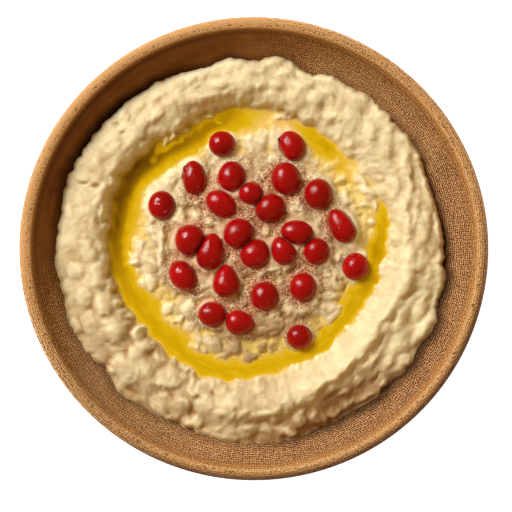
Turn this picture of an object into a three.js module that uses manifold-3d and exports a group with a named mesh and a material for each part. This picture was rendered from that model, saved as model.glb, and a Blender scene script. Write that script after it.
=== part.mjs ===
// Baba ganoush in a turned wooden bowl. The dip is spread into a raised ring round a low mound,
// olive oil lies in the channel between them, and pomegranate seeds are pressed into the mound.
// Millimetres, +Z up. The origin is on the table, under the middle of the bowl.
import * as THREE from "three";
import { mergeVertices } from "three/addons/utils/BufferGeometryUtils.js";
import Module from "manifold-3d";

// ---- Driving dimensions ----
const BOWL_WIDTH = 170; // outside of the rim, along X
const BOWL_OVAL = 0.988; // the bowl's Y size over its X size
const BOWL_HEIGHT = 48;
const RIM_BEAD = 5.6; // width of the rounded rim
const RIM_LEDGE = 0.5; // flat step between the inner wall and the rim's rounding
const FLOOR_HEIGHT = 7.5; // inner floor above the table
const WALL_POWER = 1.6; // 1 is a cone, 2 is an ellipse
const FOOT_OUTER = 39.6;
const FOOT_INNER = 33;
const FOOT_EDGE = 4.7; // height of the foot's outer face
const FOOT_RECESS = 1.5;
const BOWL_SEGMENTS = 56;

const OIL_LEVEL = 33.5;
const MOUND_TOP = 37.2;
const MOUND_POWER = 0.8; // a lower power gives a flatter top
const EDGE_ROUND = 2.5; // width over which the dip rolls down to the wall
const DIP_SEGMENTS = 80;
const GAP = 0.3; // between touching solids

// The dip's section, all round: degrees from +X towards +Y, then the channel's inner and outer
// shore radius, the channel's depth, and radius and height of three points on the raised ring:
// the lip over the channel, the crest, and the shoulder near the wall.
const SECTIONS = [
  [0, 42.1, 48.1, 2.2, 52.5, 37.4, 57.5, 40.4, 66.0, 37.4],
  [15, 44.0, 49.9, 1.2, 53.5, 37.0, 58.5, 40.5, 66.0, 37.5],
  [30, 44.7, 48.5, -1.2, 53.0, 36.6, 58.5, 40.0, 66.5, 37.5],
  [45, 44.6, 48.8, 0.2, 53.0, 36.8, 59.0, 40.0, 66.0, 37.3],
  [60, 42.0, 48.5, 1.9, 53.2, 37.4, 60.0, 40.3, 65.5, 37.5],
  [75, 44.7, 50.7, 1.2, 53.8, 37.5, 61.0, 40.5, 65.5, 38.0],
  [90, 44.4, 52.2, 2.6, 54.6, 37.8, 60.5, 41.0, 66.5, 39.0],
  [105, 44.0, 51.4, 3.0, 55.0, 40.2, 58.5, 41.5, 67.0, 39.0],
  [120, 41.7, 50.2, 3.0, 56.2, 40.8, 59.5, 41.5, 68.0, 38.8],
  [135, 42.5, 52.2, 3.2, 57.0, 40.9, 60.5, 41.5, 68.8, 38.8],
  [150, 45.5, 54.8, 3.2, 58.2, 40.9, 61.5, 41.5, 69.5, 38.8],
  [165, 45.1, 54.4, 3.2, 57.6, 40.9, 61.5, 41.5, 69.8, 38.8],
  [180, 45.5, 53.3, 3.2, 56.2, 40.5, 60.8, 41.5, 69.8, 38.6],
  [195, 44.0, 52.8, 3.0, 55.6, 39.6, 60.5, 41.3, 69.8, 38.2],
  [210, 42.1, 51.1, 3.0, 54.4, 38.8, 60.5, 41.0, 69.0, 37.8],
  [225, 42.1, 49.9, 3.0, 53.6, 38.0, 60.5, 40.5, 68.0, 37.4],
  [240, 42.1, 50.3, 3.0, 53.8, 38.0, 60.5, 40.5, 67.5, 37.0],
  [255, 42.5, 50.3, 3.0, 54.0, 38.0, 61.0, 40.5, 67.5, 36.8],
  [270, 41.0, 47.7, 2.8, 52.0, 37.8, 61.0, 40.9, 67.5, 36.5],
  [285, 39.9, 45.4, 2.6, 50.0, 37.8, 58.5, 41.2, 65.0, 36.4],
  [300, 40.8, 46.6, 2.8, 51.0, 38.0, 56.5, 41.2, 62.5, 36.8],
  [315, 39.9, 45.2, 2.6, 50.0, 38.2, 55.5, 41.2, 61.5, 36.8],
  [330, 38.8, 45.1, 2.6, 50.0, 38.2, 55.5, 41.2, 61.5, 36.8],
  [345, 40.3, 47.3, 2.6, 51.5, 38.0, 56.0, 41.0, 62.5, 37.0],
];

// The scalloped edge where the dip meets the wall: degrees, radius.
const EDGE = [
  [0, 70.8], [15, 70.0], [22, 69.7], [30, 71.1], [45, 70.4], [52, 71.1], [60, 70.0], [65, 70.8],
  [72, 68.6], [83, 72.2], [90, 70.2], [97, 71.5], [105, 70.1], [120, 71.5], [135, 72.3],
  [150, 73.0], [160, 73.7], [170, 73.0], [185, 74.0], [193, 72.6], [201, 74.0], [213, 72.6],
  [219, 70.8], [228, 73.3], [235, 71.6], [240, 71.9], [247, 70.8], [262, 72.3], [280, 72.3],
  [292, 70.8], [300, 70.8], [308, 71.5], [315, 70.8], [322, 72.2], [329, 71.4], [335, 72.9],
  [344, 71.5], [350, 72.5], [356, 70.8],
];

// Pools of oil in the channel: name, first and last degree.
const POOLS = [
  ["oil_main", 76, 376],
  ["oil_small", 49, 66],
];
const OIL_DEPTH_LEAST = 0.7; // of the channel where a pool's side wall stands
const POOL_REACH = 0.85; // most that a pool takes of the channel's half width

// Pomegranate seeds: middle x, y, length, width, heading of the long axis in degrees, taper
// towards its far end, and heading and distance of a flat side, where there is one.
const SEEDS = [
  [-11.8, 38.9, 9.6, 9.2, 15, 0.05],
  [14.0, 38.1, 11.2, 9.6, 115, 0.1, 208, 4.3],
  [-22.2, 26.3, 12.2, 8.9, 94, 0.1, 180, 4.0],
  [-8.1, 26.6, 11.0, 10.1, 85, 0.0],
  [11.9, 25.8, 11.9, 10.6, 100, 0.0],
  [23.9, 20.2, 11.1, 10.1, 90, 0.0],
  [-34.1, 16.1, 10.4, 9.7, 80, 0.0],
  [-12.0, 16.5, 11.8, 8.9, -35, 0.0],
  [-1.0, 20.4, 9.2, 8.2, -20, 0.0],
  [6.0, 15.0, 11.1, 10.3, 15, 0.0],
  [32.5, 8.6, 13.2, 8.9, 122, 0.3, 32, 3.9],
  [-5.6, 5.6, 11.2, 10.5, 40, 0.0],
  [-23.4, 3.1, 11.3, 11.0, 90, 0.0],
  [-16.1, -1.0, 13.4, 10.0, 80, 0.35],
  [15.9, 6.0, 11.8, 8.8, -3, 0.0],
  [0.5, -1.8, 11.1, 10.5, 30, 0.0],
  [10.9, -0.6, 10.6, 9.4, 100, 0.0],
  [23.1, -0.9, 9.7, 9.2, 100, 0.0],
  [37.6, -6.6, 10.0, 9.5, 70, 0.0],
  [-26.0, -9.9, 11.3, 9.7, -52, 0.0, 35, 4.3],
  [-10.2, -11.7, 11.4, 9.5, 92, 0.35],
  [18.2, -14.1, 10.1, 9.5, 80, 0.0],
  [4.0, -17.5, 10.3, 10.0, 80, 0.0],
  [-15.4, -24.2, 9.9, 9.0, 0, 0.0],
  [-5.1, -27.3, 10.3, 8.6, -6, 0.25],
  [16.9, -32.7, 9.2, 8.9, 0, 0.0],
];
const SEED_HEIGHT = 0.93; // a seed's thickness over its width
const SEED_LIFT = 0.7; // of a seed's middle over the dip's smooth surface
const SEED_SIDES = 9;
const SEED_RINGS = 6;

// ---- Small maths ----
const TURN = 2 * Math.PI;
const radians = (degrees) => (degrees * Math.PI) / 180;
const clamp = (value, low, high) => Math.min(high, Math.max(low, value));
const smooth = (t) => t * t * (3 - 2 * t);

// A value from rows of [degrees, value, ...] at any angle, eased from row to row round the circle.
function around(rows, angle, column) {
  const degrees = (((angle * 180) / Math.PI) % 360 + 360) % 360;
  let next = rows.findIndex((row) => row[0] > degrees);
  if (next < 0) next = rows.length;
  const before = rows[next - 1];
  const after = next < rows.length ? rows[next] : [360, ...rows[0].slice(1)];
  const t = (degrees - before[0]) / (after[0] - before[0]);
  return before[column] + (after[column] - before[column]) * smooth(t);
}

// A curve through points (xs, ys) that never overshoots them: a monotone cubic.
function monotone(xs, ys, x) {
  const steps = xs.slice(1).map((right, i) => (ys[i + 1] - ys[i]) / (right - xs[i]));
  const slopes = xs.map((_, i) => {
    if (i === 0) return steps[0];
    if (i === xs.length - 1) return steps[i - 1];
    const product = steps[i - 1] * steps[i];
    return product > 0 ? (2 * product) / (steps[i - 1] + steps[i]) : 0;
  });
  let i = xs.findIndex((right) => right > x) - 1;
  i = i < 0 ? (x < xs[0] ? 0 : xs.length - 2) : i;
  const width = xs[i + 1] - xs[i];
  const t = clamp((x - xs[i]) / width, 0, 1);
  const rise = smooth(t);
  const start = t * (1 - t) * (1 - t);
  const end = t * t * (1 - t);
  return ys[i] * (1 - rise) + ys[i + 1] * rise + width * (start * slopes[i] - end * slopes[i + 1]);
}

// A repeatable number from 0 to 1 for each whole-number cell.
function random(i, j, seed) {
  let h = Math.imul(i, 374761393) ^ Math.imul(j, 668265263) ^ Math.imul(seed, 2246822519);
  h = Math.imul(h ^ (h >>> 13), 1274126177);
  return ((h ^ (h >>> 16)) >>> 0) / 4294967296;
}

// Rounded lumps, one in each cell of a shaken grid, from 0 to 1. Cells repeat after wrap columns.
function lumps(u, v, sizeU, sizeV, seed, wrap) {
  const column = Math.floor(u / sizeU);
  const row = Math.floor(v / sizeV);
  let highest = 0;
  for (let i = column - 1; i <= column + 1; i++)
    for (let j = row - 1; j <= row + 1; j++) {
      const cell = wrap ? ((i % wrap) + wrap) % wrap : i;
      const du = u / sizeU - (i + 0.2 + 0.6 * random(cell, j, seed));
      const dv = v / sizeV - (j + 0.2 + 0.6 * random(cell, j, seed + 1));
      const reach = 0.5 + 0.25 * random(cell, j, seed + 2);
      const cap = Math.max(0, 1 - (du * du + dv * dv) / (reach * reach));
      highest = Math.max(highest, cap * (0.5 + 0.5 * random(cell, j, seed + 3)));
    }
  return highest;
}

// ---- Bowl ----
const WALL_RADIUS = BOWL_WIDTH / 2 - RIM_BEAD; // where the inner wall meets the rim
const BEAD_RADIUS = (RIM_BEAD - RIM_LEDGE) / 2;
const WALL_TOP = BOWL_HEIGHT - BEAD_RADIUS;

// The inside of the bowl as a line of facets, each point a radius and a height.
const WALL = [0, 0.35, 0.6, 0.75, 0.85, 0.91, 0.955, 0.985, 1].map((share) => {
  const fall = Math.pow(1 - Math.pow(share, WALL_POWER), 1 / WALL_POWER);
  return new THREE.Vector2(WALL_RADIUS * share, WALL_TOP - (WALL_TOP - FLOOR_HEIGHT) * fall);
});

// Height of the bowl's inside at a plan radius, measured on the oval.
function wallHeight(radius) {
  const next = Math.max(1, WALL.findIndex((point) => point.x >= radius));
  const [before, after] = [WALL[next - 1], WALL[next]];
  return before.y + ((after.y - before.y) * (radius - before.x)) / (after.x - before.x);
}

const ovalRadius = (x, y) => Math.hypot(x, y / BOWL_OVAL);

function bowlProfile() {
  const profile = [...WALL];
  for (const degrees of [180, 144, 108, 90, 60, 30, 0]) {
    const x = BOWL_WIDTH / 2 - BEAD_RADIUS * (1 - Math.cos(radians(degrees)));
    const z = WALL_TOP + BEAD_RADIUS * Math.sin(radians(degrees));
    profile.push(new THREE.Vector2(x, z));
  }
  const outside = new THREE.CubicBezierCurve(
    new THREE.Vector2(BOWL_WIDTH / 2, WALL_TOP),
    new THREE.Vector2(BOWL_WIDTH / 2 - 1.5, WALL_TOP - 16),
    new THREE.Vector2(FOOT_OUTER + 19, FOOT_EDGE + 10.5),
    new THREE.Vector2(FOOT_OUTER, FOOT_EDGE),
  );
  profile.push(...outside.getPoints(6).slice(1));
  profile.push(new THREE.Vector2(FOOT_OUTER, 0), new THREE.Vector2(FOOT_INNER, 0));
  profile.push(new THREE.Vector2(FOOT_INNER - 1, FOOT_RECESS), new THREE.Vector2(0, FOOT_RECESS));
  return profile;
}

function bowlGeometry() {
  const geometry = new THREE.LatheGeometry(bowlProfile().reverse(), BOWL_SEGMENTS);
  geometry.rotateX(Math.PI / 2);
  return geometry.scale(1, BOWL_OVAL, 1);
}

// ---- Dip surface ----
const RING_RADIUS = 60; // where angles are turned into lengths for the lumps
const [CURD, FOLD, FINE] = [1, 11, 21]; // seeds of the three kinds of lump

// 1 near an angle in degrees, falling to 0 at reach degrees from it.
function near(angle, middle, reach) {
  const away = Math.abs(((((angle * 180) / Math.PI - middle) % 360) + 540) % 360 - 180);
  return smooth(clamp(1 - away / reach, 0, 1));
}

function ringRelief(angle, radius) {
  const along = ((angle + TURN) % TURN) * RING_RADIUS;
  const cells = (size) => Math.round((TURN * RING_RADIUS) / size);
  const lump = (sizeU, sizeV, seed) => {
    const wrap = cells(sizeU);
    return lumps(along, radius, (TURN * RING_RADIUS) / wrap, sizeV, seed, wrap);
  };
  const curds = (0.5 + 1.5 * near(angle, 228, 60)) * lump(9, 9, CURD);
  const folds = (0.3 + 1.2 * near(angle, 40, 50)) * lump(6, 11, FOLD);
  return curds + folds + 0.5 * lump(5, 5, FINE) - 0.9;
}

// The dip's shape along one direction from the middle.
function sectionAt(angle) {
  const value = (column) => around(SECTIONS, angle, column);
  const section = {
    inner: value(1),
    outer: value(2),
    depth: value(3),
    edge: around(EDGE, angle, 1),
    radii: [value(2), value(4), value(6), value(8)],
    heights: [OIL_LEVEL, value(5), value(7), value(9)],
  };
  section.radii.push(section.edge);
  section.heights.push(section.heights[3] - 1.2);
  return section;
}

function smoothHeight(section, radius) {
  const { inner, outer, depth, radii, heights } = section;
  if (radius <= inner) {
    const dome = Math.pow(1 - (radius / inner) ** 2, MOUND_POWER);
    return OIL_LEVEL + (MOUND_TOP - OIL_LEVEL) * dome;
  }
  if (radius >= outer) return monotone(radii, heights, radius);
  const across = (2 * (radius - inner)) / (outer - inner) - 1;
  return OIL_LEVEL - depth * (1 - Math.abs(across) ** (across < 0 ? 2 : 4));
}

function dipHeight(section, angle, radius) {
  const x = radius * Math.cos(angle);
  const y = radius * Math.sin(angle);
  const floor = wallHeight(ovalRadius(x, y)) + GAP;
  const base = smoothHeight(section, radius);
  const aboveOil = clamp((base - OIL_LEVEL) / 3, 0, 1);
  const relief = radius > section.outer ? ringRelief(angle, radius) : 1.2 * lumps(x, y, 7, 7, CURD) - 0.5;
  const top = base + relief * aboveOil;
  const roll = clamp((radius - (section.edge - EDGE_ROUND)) / EDGE_ROUND, 0, 1);
  return floor + (top - floor) * Math.sqrt(1 - roll * roll);
}

// ---- Solids from rings of points ----
// Closes a stack of rings, each a list of points, with a fan on the first and last point.
function stackGeometry(first, rings, last) {
  const points = [first, ...rings.flat(), last];
  const count = rings[0].length;
  const faces = [];
  for (let i = 0; i < count; i++) {
    const j = (i + 1) % count;
    faces.push(0, 1 + i, 1 + j);
    for (let ring = 0; ring + 1 < rings.length; ring++) {
      const [a, b] = [1 + ring * count + i, 1 + ring * count + j];
      faces.push(a, a + count, b + count, a, b + count, b);
    }
    const bottom = 1 + (rings.length - 1) * count;
    faces.push(points.length - 1, bottom + j, bottom + i);
  }
  return indexed(points, faces);
}

function indexed(points, faces) {
  const geometry = new THREE.BufferGeometry().setFromPoints(points);
  geometry.setIndex(faces);
  geometry.computeVertexNormals();
  return geometry;
}

const polar = (angle, radius, z) =>
  new THREE.Vector3(radius * Math.cos(angle), radius * Math.sin(angle), z);

// ---- Dip ----
const MOUND_RINGS = [0.25, 0.5, 0.72, 0.9];
const CHANNEL_RINGS = [-1, -POOL_REACH, -0.3, 0.3, POOL_REACH, 1];
const RAMPART_RINGS = [0.1, 0.2, 0.32, 0.45, 0.58, 0.7, 0.82, 0.91, 0.97];
const UNDER_RINGS = WALL.slice(1, 5).reverse(); // where the dip's underside follows the wall

const angles = Array.from({ length: DIP_SEGMENTS }, (_, i) => (i * TURN) / DIP_SEGMENTS);
const sections = angles.map(sectionAt);

const channelRadius = ({ inner, outer }, across) => inner + ((outer - inner) * (across + 1)) / 2;

function dipGeometry() {
  const topRing = (radiusOf) =>
    angles.map((angle, i) => {
      const radius = radiusOf(sections[i]);
      return polar(angle, radius, dipHeight(sections[i], angle, radius));
    });
  const edgeRing = angles.map((angle, i) => {
    const point = polar(angle, sections[i].edge, 0);
    return point.setZ(wallHeight(ovalRadius(point.x, point.y)) + GAP);
  });
  const underRing = ({ x: radius, y: height }) =>
    angles.map((angle) => {
      const { x, y } = polar(angle, 1, 0);
      return polar(angle, radius / ovalRadius(x, y), height + GAP);
    });
  const rings = [
    ...MOUND_RINGS.map((share) => topRing((section) => section.inner * share)),
    ...CHANNEL_RINGS.map((across) => topRing((section) => channelRadius(section, across))),
    ...RAMPART_RINGS.map((share) => topRing(({ outer, edge }) => outer + (edge - outer) * share)),
    edgeRing,
    ...UNDER_RINGS.map(underRing),
  ];
  return stackGeometry(
    new THREE.Vector3(0, 0, MOUND_TOP),
    rings,
    new THREE.Vector3(0, 0, FLOOR_HEIGHT + GAP),
  );
}

// ---- Oil ----
// Half the width of a pool, as a share of the channel's, where the channel is deep enough.
const poolReach = (section) =>
  Math.min(POOL_REACH, Math.sqrt(clamp(1 - OIL_DEPTH_LEAST / section.depth, 0.02, 1)));

function oilGeometry(firstDegree, lastDegree) {
  const [first, last] = [firstDegree, lastDegree].map((d) => Math.round((d * DIP_SEGMENTS) / 360));
  const slices = [];
  for (let i = first; i <= last; i++) {
    const section = sections[i % DIP_SEGMENTS];
    const angle = angles[i % DIP_SEGMENTS];
    const reach = poolReach(section);
    const place = (across, z) => polar(angle, channelRadius(section, across), z);
    const below = (across) =>
      place(across, dipHeight(section, angle, channelRadius(section, across)) + GAP);
    slices.push([
      place(-reach, OIL_LEVEL), place(reach, OIL_LEVEL),
      below(reach), below(0.3 * reach), below(-0.3 * reach), below(-reach),
    ]);
  }
  const count = slices[0].length;
  const faces = [];
  for (let i = 0; i + 1 < slices.length; i++)
    for (let k = 0; k < count; k++) {
      const [a, b] = [i * count + k, i * count + ((k + 1) % count)];
      faces.push(a, b, b + count, a, b + count, a + count);
    }
  const end = (slices.length - 1) * count;
  for (const [a, b, c] of [[0, 4, 5], [0, 1, 4], [1, 3, 4], [1, 2, 3]]) {
    faces.push(a, c, b);
    faces.push(end + a, end + b, end + c);
  }
  return indexed(slices.flat(), faces);
}

// ---- Seeds ----
const smoothDipHeight = (x, y) => smoothHeight(sectionAt(Math.atan2(y, x)), Math.hypot(x, y));

const seeds = SEEDS.map(([x, y, length, width, heading, taper, flatHeading, flatDistance]) => {
  const seed = {
    middle: new THREE.Vector3(x, y, smoothDipHeight(x, y) + SEED_LIFT),
    half: new THREE.Vector3(length / 2, width / 2, (width * SEED_HEIGHT) / 2),
    turn: radians(heading),
    taper,
    flats: [],
  };
  if (flatDistance) {
    const direction = new THREE.Vector3(Math.cos(radians(flatHeading)), Math.sin(radians(flatHeading)), 0);
    seed.flats.push({ direction, distance: flatDistance });
  }
  return seed;
});

// How far an untapered seed reaches from its middle along a direction.
function support({ half, turn }, direction) {
  const along = direction.x * Math.cos(turn) + direction.y * Math.sin(turn);
  const across = direction.y * Math.cos(turn) - direction.x * Math.sin(turn);
  return Math.hypot(half.x * along, half.y * across, half.z * direction.z);
}

// Seeds that press on each other get a flat side each, a gap apart.
function pressTogether(one, other) {
  const direction = other.middle.clone().sub(one.middle);
  const distance = direction.length();
  direction.normalize();
  const [reachOne, reachOther] = [support(one, direction), support(other, direction)];
  const room = distance - reachOne - reachOther;
  if (room > GAP) return;
  one.flats.push({ direction, distance: reachOne + (room - GAP) / 2 });
  other.flats.push({ direction: direction.clone().negate(), distance: reachOther + (room - GAP) / 2 });
}

seeds.forEach((one, i) => seeds.slice(i + 1).forEach((other) => pressTogether(one, other)));

// An egg along its heading, cut by its flat sides; spare swells it all round.
function seedGeometry({ middle, half, turn, taper, flats }, spare = 0) {
  const point = (along, around) => {
    const narrow = 1 - taper * Math.cos(along) * 0.9;
    const egg = new THREE.Vector3(
      half.x * Math.cos(along),
      half.y * Math.sin(along) * Math.cos(around) * narrow,
      half.z * Math.sin(along) * Math.sin(around) * narrow,
    ).applyAxisAngle(new THREE.Vector3(0, 0, 1), turn);
    for (const { direction, distance } of flats) {
      const reach = egg.dot(direction);
      if (reach > distance) egg.multiplyScalar(distance / reach);
    }
    return egg.multiplyScalar(1 + spare / egg.length()).add(middle);
  };
  const rings = [];
  for (let ring = 1; ring < SEED_RINGS; ring++)
    rings.push(
      Array.from({ length: SEED_SIDES }, (_, i) =>
        point((ring * Math.PI) / SEED_RINGS, (i * TURN) / SEED_SIDES),
      ),
    );
  return stackGeometry(point(0, 0), rings, point(Math.PI, 0));
}

// ---- Cutting ----
const wasm = await Module();
wasm.setup();

function solidOf(geometry) {
  const bare = new THREE.BufferGeometry().setAttribute("position", geometry.getAttribute("position"));
  bare.setIndex(geometry.index);
  const merged = mergeVertices(bare, 1e-4);
  return new wasm.Manifold(
    new wasm.Mesh({
      numProp: 3,
      vertProperties: merged.attributes.position.array,
      triVerts: new Uint32Array(merged.index.array),
    }),
  );
}

function geometryOf(solid) {
  const { vertProperties, triVerts, numProp } = solid.getMesh();
  const geometry = new THREE.BufferGeometry();
  const values = new THREE.InterleavedBuffer(vertProperties, numProp);
  geometry.setAttribute("position", new THREE.InterleavedBufferAttribute(values, 3, 0));
  geometry.setIndex(new THREE.BufferAttribute(triVerts, 1));
  geometry.computeVertexNormals();
  return geometry;
}

// Makes room for the seeds, and keeps the largest body that is left.
function hollowedForSeeds(geometry) {
  let solid = solidOf(geometry);
  for (const seed of seeds) solid = solid.subtract(solidOf(seedGeometry(seed, GAP)));
  const bodies = solid.decompose().sort((a, b) => b.volume() - a.volume());
  return geometryOf(bodies[0]);
}

// ---- Object ----
const material = (colour, roughness) =>
  new THREE.MeshStandardMaterial({ color: colour, roughness, metalness: 0 });
const WOOD = material(0x8a5430, 0.5);
const DIP = material(0xe3c997, 0.45);
const OIL = material(0xc99a12, 0.1);
const SEED = material(0x9c0010, 0.2);

const object = new THREE.Group();

function add(name, geometry, look) {
  const mesh = new THREE.Mesh(geometry, look);
  mesh.name = name;
  object.add(mesh);
}

add("bowl", bowlGeometry(), WOOD);
add("baba_ganoush", hollowedForSeeds(dipGeometry()), DIP);
for (const [name, firstDegree, lastDegree] of POOLS)
  add(name, hollowedForSeeds(oilGeometry(firstDegree, lastDegree)), OIL);
seeds.forEach((seed, i) =>
  add(`seed_${String(i + 1).padStart(2, "0")}`, seedGeometry(seed), SEED),
);

export default object;
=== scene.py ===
"""Looks of a bowl of baba ganoush: a turned wooden bowl, the dip spread in a ring round a low mound,
olive oil in the channel between them, and pomegranate seeds pressed into the mound.

Shapes are worked out in millimetres as whole numpy arrays and put into meshes in metres. Every
piece's place is in its mesh, and every pattern reads Object coordinates or the piece's attributes.
"""
import math
from functools import partial, reduce
from itertools import combinations

import bpy
import numpy as np
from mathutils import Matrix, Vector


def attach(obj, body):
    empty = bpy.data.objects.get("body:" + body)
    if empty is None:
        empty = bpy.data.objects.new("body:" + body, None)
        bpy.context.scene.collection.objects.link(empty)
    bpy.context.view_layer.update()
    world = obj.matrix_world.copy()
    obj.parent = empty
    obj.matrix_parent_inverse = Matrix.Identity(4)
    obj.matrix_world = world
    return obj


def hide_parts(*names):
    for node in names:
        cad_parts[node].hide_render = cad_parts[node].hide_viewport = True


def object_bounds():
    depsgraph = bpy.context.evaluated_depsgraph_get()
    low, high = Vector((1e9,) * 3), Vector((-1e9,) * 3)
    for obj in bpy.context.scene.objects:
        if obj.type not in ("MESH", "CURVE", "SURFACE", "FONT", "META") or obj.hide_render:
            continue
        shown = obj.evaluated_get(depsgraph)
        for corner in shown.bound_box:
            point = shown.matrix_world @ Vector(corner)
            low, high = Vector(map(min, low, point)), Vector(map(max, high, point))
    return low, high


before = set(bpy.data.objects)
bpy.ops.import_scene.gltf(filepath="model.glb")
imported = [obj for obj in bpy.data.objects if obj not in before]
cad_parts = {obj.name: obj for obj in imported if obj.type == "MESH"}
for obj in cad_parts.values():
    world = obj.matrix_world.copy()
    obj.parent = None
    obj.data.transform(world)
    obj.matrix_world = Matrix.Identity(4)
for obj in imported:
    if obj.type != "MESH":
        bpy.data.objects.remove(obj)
CAD_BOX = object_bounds()

MM = 0.001
TURN = 2 * math.pi

# ---- Sizes that the solids share, in millimetres ----
BOWL_OVAL = 0.988
BOWL_HALF, BOWL_HEIGHT = (size / MM for size in (CAD_BOX[1][0], CAD_BOX[1][2]))
RIM_BEAD = 5.6
RIM_LEDGE = 0.5
BEAD_RADIUS = (RIM_BEAD - RIM_LEDGE) / 2
WALL_RADIUS = BOWL_HALF - RIM_BEAD
WALL_TOP = BOWL_HEIGHT - BEAD_RADIUS
FLOOR_HEIGHT = 7.5
WALL_POWER = 1.6
FOOT_OUTER, FOOT_INNER, FOOT_EDGE, FOOT_RECESS = 39.6, 33.0, 4.7, 1.5

OIL_LEVEL = 33.5
MOUND_TOP = 37.2
MOUND_POWER = 0.8
EDGE_ROUND = 2.5  # how far in from the dip's edge its roll starts
RING_RADIUS = 60.0  # where angles are turned into lengths for the lumps
RING_LENGTH = TURN * RING_RADIUS

# ---- Other sizes, in millimetres ----
EDGE_STEP = 0.9  # of the dip over the wall at its edge, at least, before it is rolled down
EDGE_DROP, STEEP_DROP = 1.2, 4.2  # from the shoulder to the edge: all round, and at the lower right
SEAT = 0.12  # of the dip over the wall, so that the two don't fight
UNDER_SHARES = np.array([0.96, 0.88, 0.76, 0.6, 0.35, 0.0])  # rings under the dip, of its edge's radius
OIL_FULL = 3.4  # depth of oil that counts as 1
POOLS = {"oil_main": (72, 388), "oil_small": (34, 72)}  # first and last degree
STREAK_STRETCH = 7  # length over width of the streaks in the oil
THREAD = 0.85  # from thread to thread of the wood's fine grain
WEFT_THREADS = 590.0  # all the way round the bowl

# ---- Fineness of the meshes ----
BOWL_SEGMENTS, INSIDE_RINGS, BEAD_RINGS, OUTSIDE_RINGS = 256, 80, 18, 30
DIP_GRID = 300
OIL_ROWS_PER_DEGREE, OIL_COLUMNS = 3, 40
SEED_RINGS, SEED_SIDES = 40, 56

# ---- Places, in millimetres and degrees ----
# The dip's section every 15 degrees from +X towards +Y: the channel's inner and outer shore radius,
# its depth, then radius and height of the lip, the crest and the shoulder of the raised ring.
SECTION_STEP = 15
SECTIONS = np.array([
    [43.0, 48.5, 2.0, 52.5, 37.4, 57.5, 40.4, 66.0, 38.4],
    [47.0, 50.8, 1.0, 53.8, 37.0, 58.5, 40.5, 66.0, 38.6],
    [44.7, 48.5, -1.6, 53.0, 36.6, 58.5, 40.0, 66.5, 38.2],
    [42.4, 48.6, 1.1, 52.5, 37.4, 59.0, 39.8, 66.0, 38.2],
    [42.0, 48.7, 1.9, 52.7, 37.9, 60.0, 40.0, 65.5, 38.4],
    [44.4, 50.9, 0.5, 53.8, 38.0, 61.0, 40.4, 65.5, 38.6],
    [44.4, 52.0, 1.3, 55.0, 37.2, 60.5, 41.0, 66.5, 39.0],
    [44.0, 51.4, 3.0, 55.0, 38.2, 59.0, 41.2, 67.0, 39.0],
    [41.7, 50.2, 3.0, 56.0, 39.0, 60.0, 41.2, 68.0, 38.8],
    [42.5, 52.9, 3.2, 57.2, 40.1, 60.6, 41.2, 68.8, 38.8],
    [45.5, 55.2, 3.2, 58.5, 40.2, 61.5, 41.2, 69.5, 38.8],
    [45.1, 54.4, 3.2, 57.6, 40.2, 61.5, 41.2, 69.8, 38.8],
    [45.5, 53.3, 3.2, 56.2, 39.8, 60.8, 41.2, 69.8, 38.6],
    [44.0, 52.8, 3.0, 55.6, 39.6, 60.5, 41.3, 69.8, 38.2],
    [42.1, 51.1, 3.0, 54.4, 38.8, 60.5, 41.0, 69.0, 37.8],
    [42.1, 49.9, 3.0, 53.6, 38.0, 60.5, 40.5, 68.0, 37.4],
    [42.1, 50.3, 3.0, 53.8, 38.0, 59.5, 41.0, 66.5, 37.6],
    [42.5, 50.3, 3.0, 54.0, 38.0, 59.0, 41.5, 65.5, 38.0],
    [41.0, 47.7, 2.8, 52.0, 37.8, 58.5, 41.9, 65.0, 38.0],
    [39.9, 45.4, 2.6, 50.0, 37.8, 57.0, 42.0, 64.0, 38.0],
    [40.8, 46.6, 2.8, 51.0, 38.0, 55.5, 42.0, 62.5, 37.4],
    [39.9, 45.2, 2.6, 50.0, 38.2, 54.5, 41.8, 62.0, 37.2],
    [38.8, 45.1, 2.6, 50.0, 38.2, 54.5, 41.8, 62.5, 37.6],
    [40.3, 47.3, 2.6, 51.5, 38.0, 55.5, 41.4, 63.0, 38.6],
])

# The scalloped edge where the dip meets the wall: degrees, radius.
EDGE = np.array([
    [0, 70.8], [15, 70.0], [22, 69.7], [30, 71.1], [45, 70.4], [52, 71.1], [60, 70.0], [65, 70.8],
    [72, 68.6], [83, 72.2], [90, 70.2], [97, 71.5], [105, 70.1], [120, 71.5], [135, 72.3],
    [150, 73.0], [160, 73.7], [170, 73.0], [185, 74.0], [193, 72.6], [201, 74.0], [213, 72.6],
    [219, 70.8], [228, 73.3], [235, 71.6], [240, 71.9], [247, 70.8], [262, 72.3], [280, 72.3],
    [292, 70.8], [300, 70.8], [308, 71.5], [315, 70.8], [322, 72.2], [329, 71.4], [335, 72.9],
    [344, 71.5], [350, 72.5], [356, 70.8],
])

# The crease outside the lower right bank: degrees, radius; then its depth and width.
FOLD = np.array([[0, 62], [262, 69.0], [268, 67.6], [275, 65.0], [283, 62.4], [290, 60.8], [300, 58.6],
                 [309, 57.6], [320, 57.2], [330, 56.2], [337, 57.0], [345, 58.5]])
FOLD_DEPTH, FOLD_WIDTH = 2.0, 1.7

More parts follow.
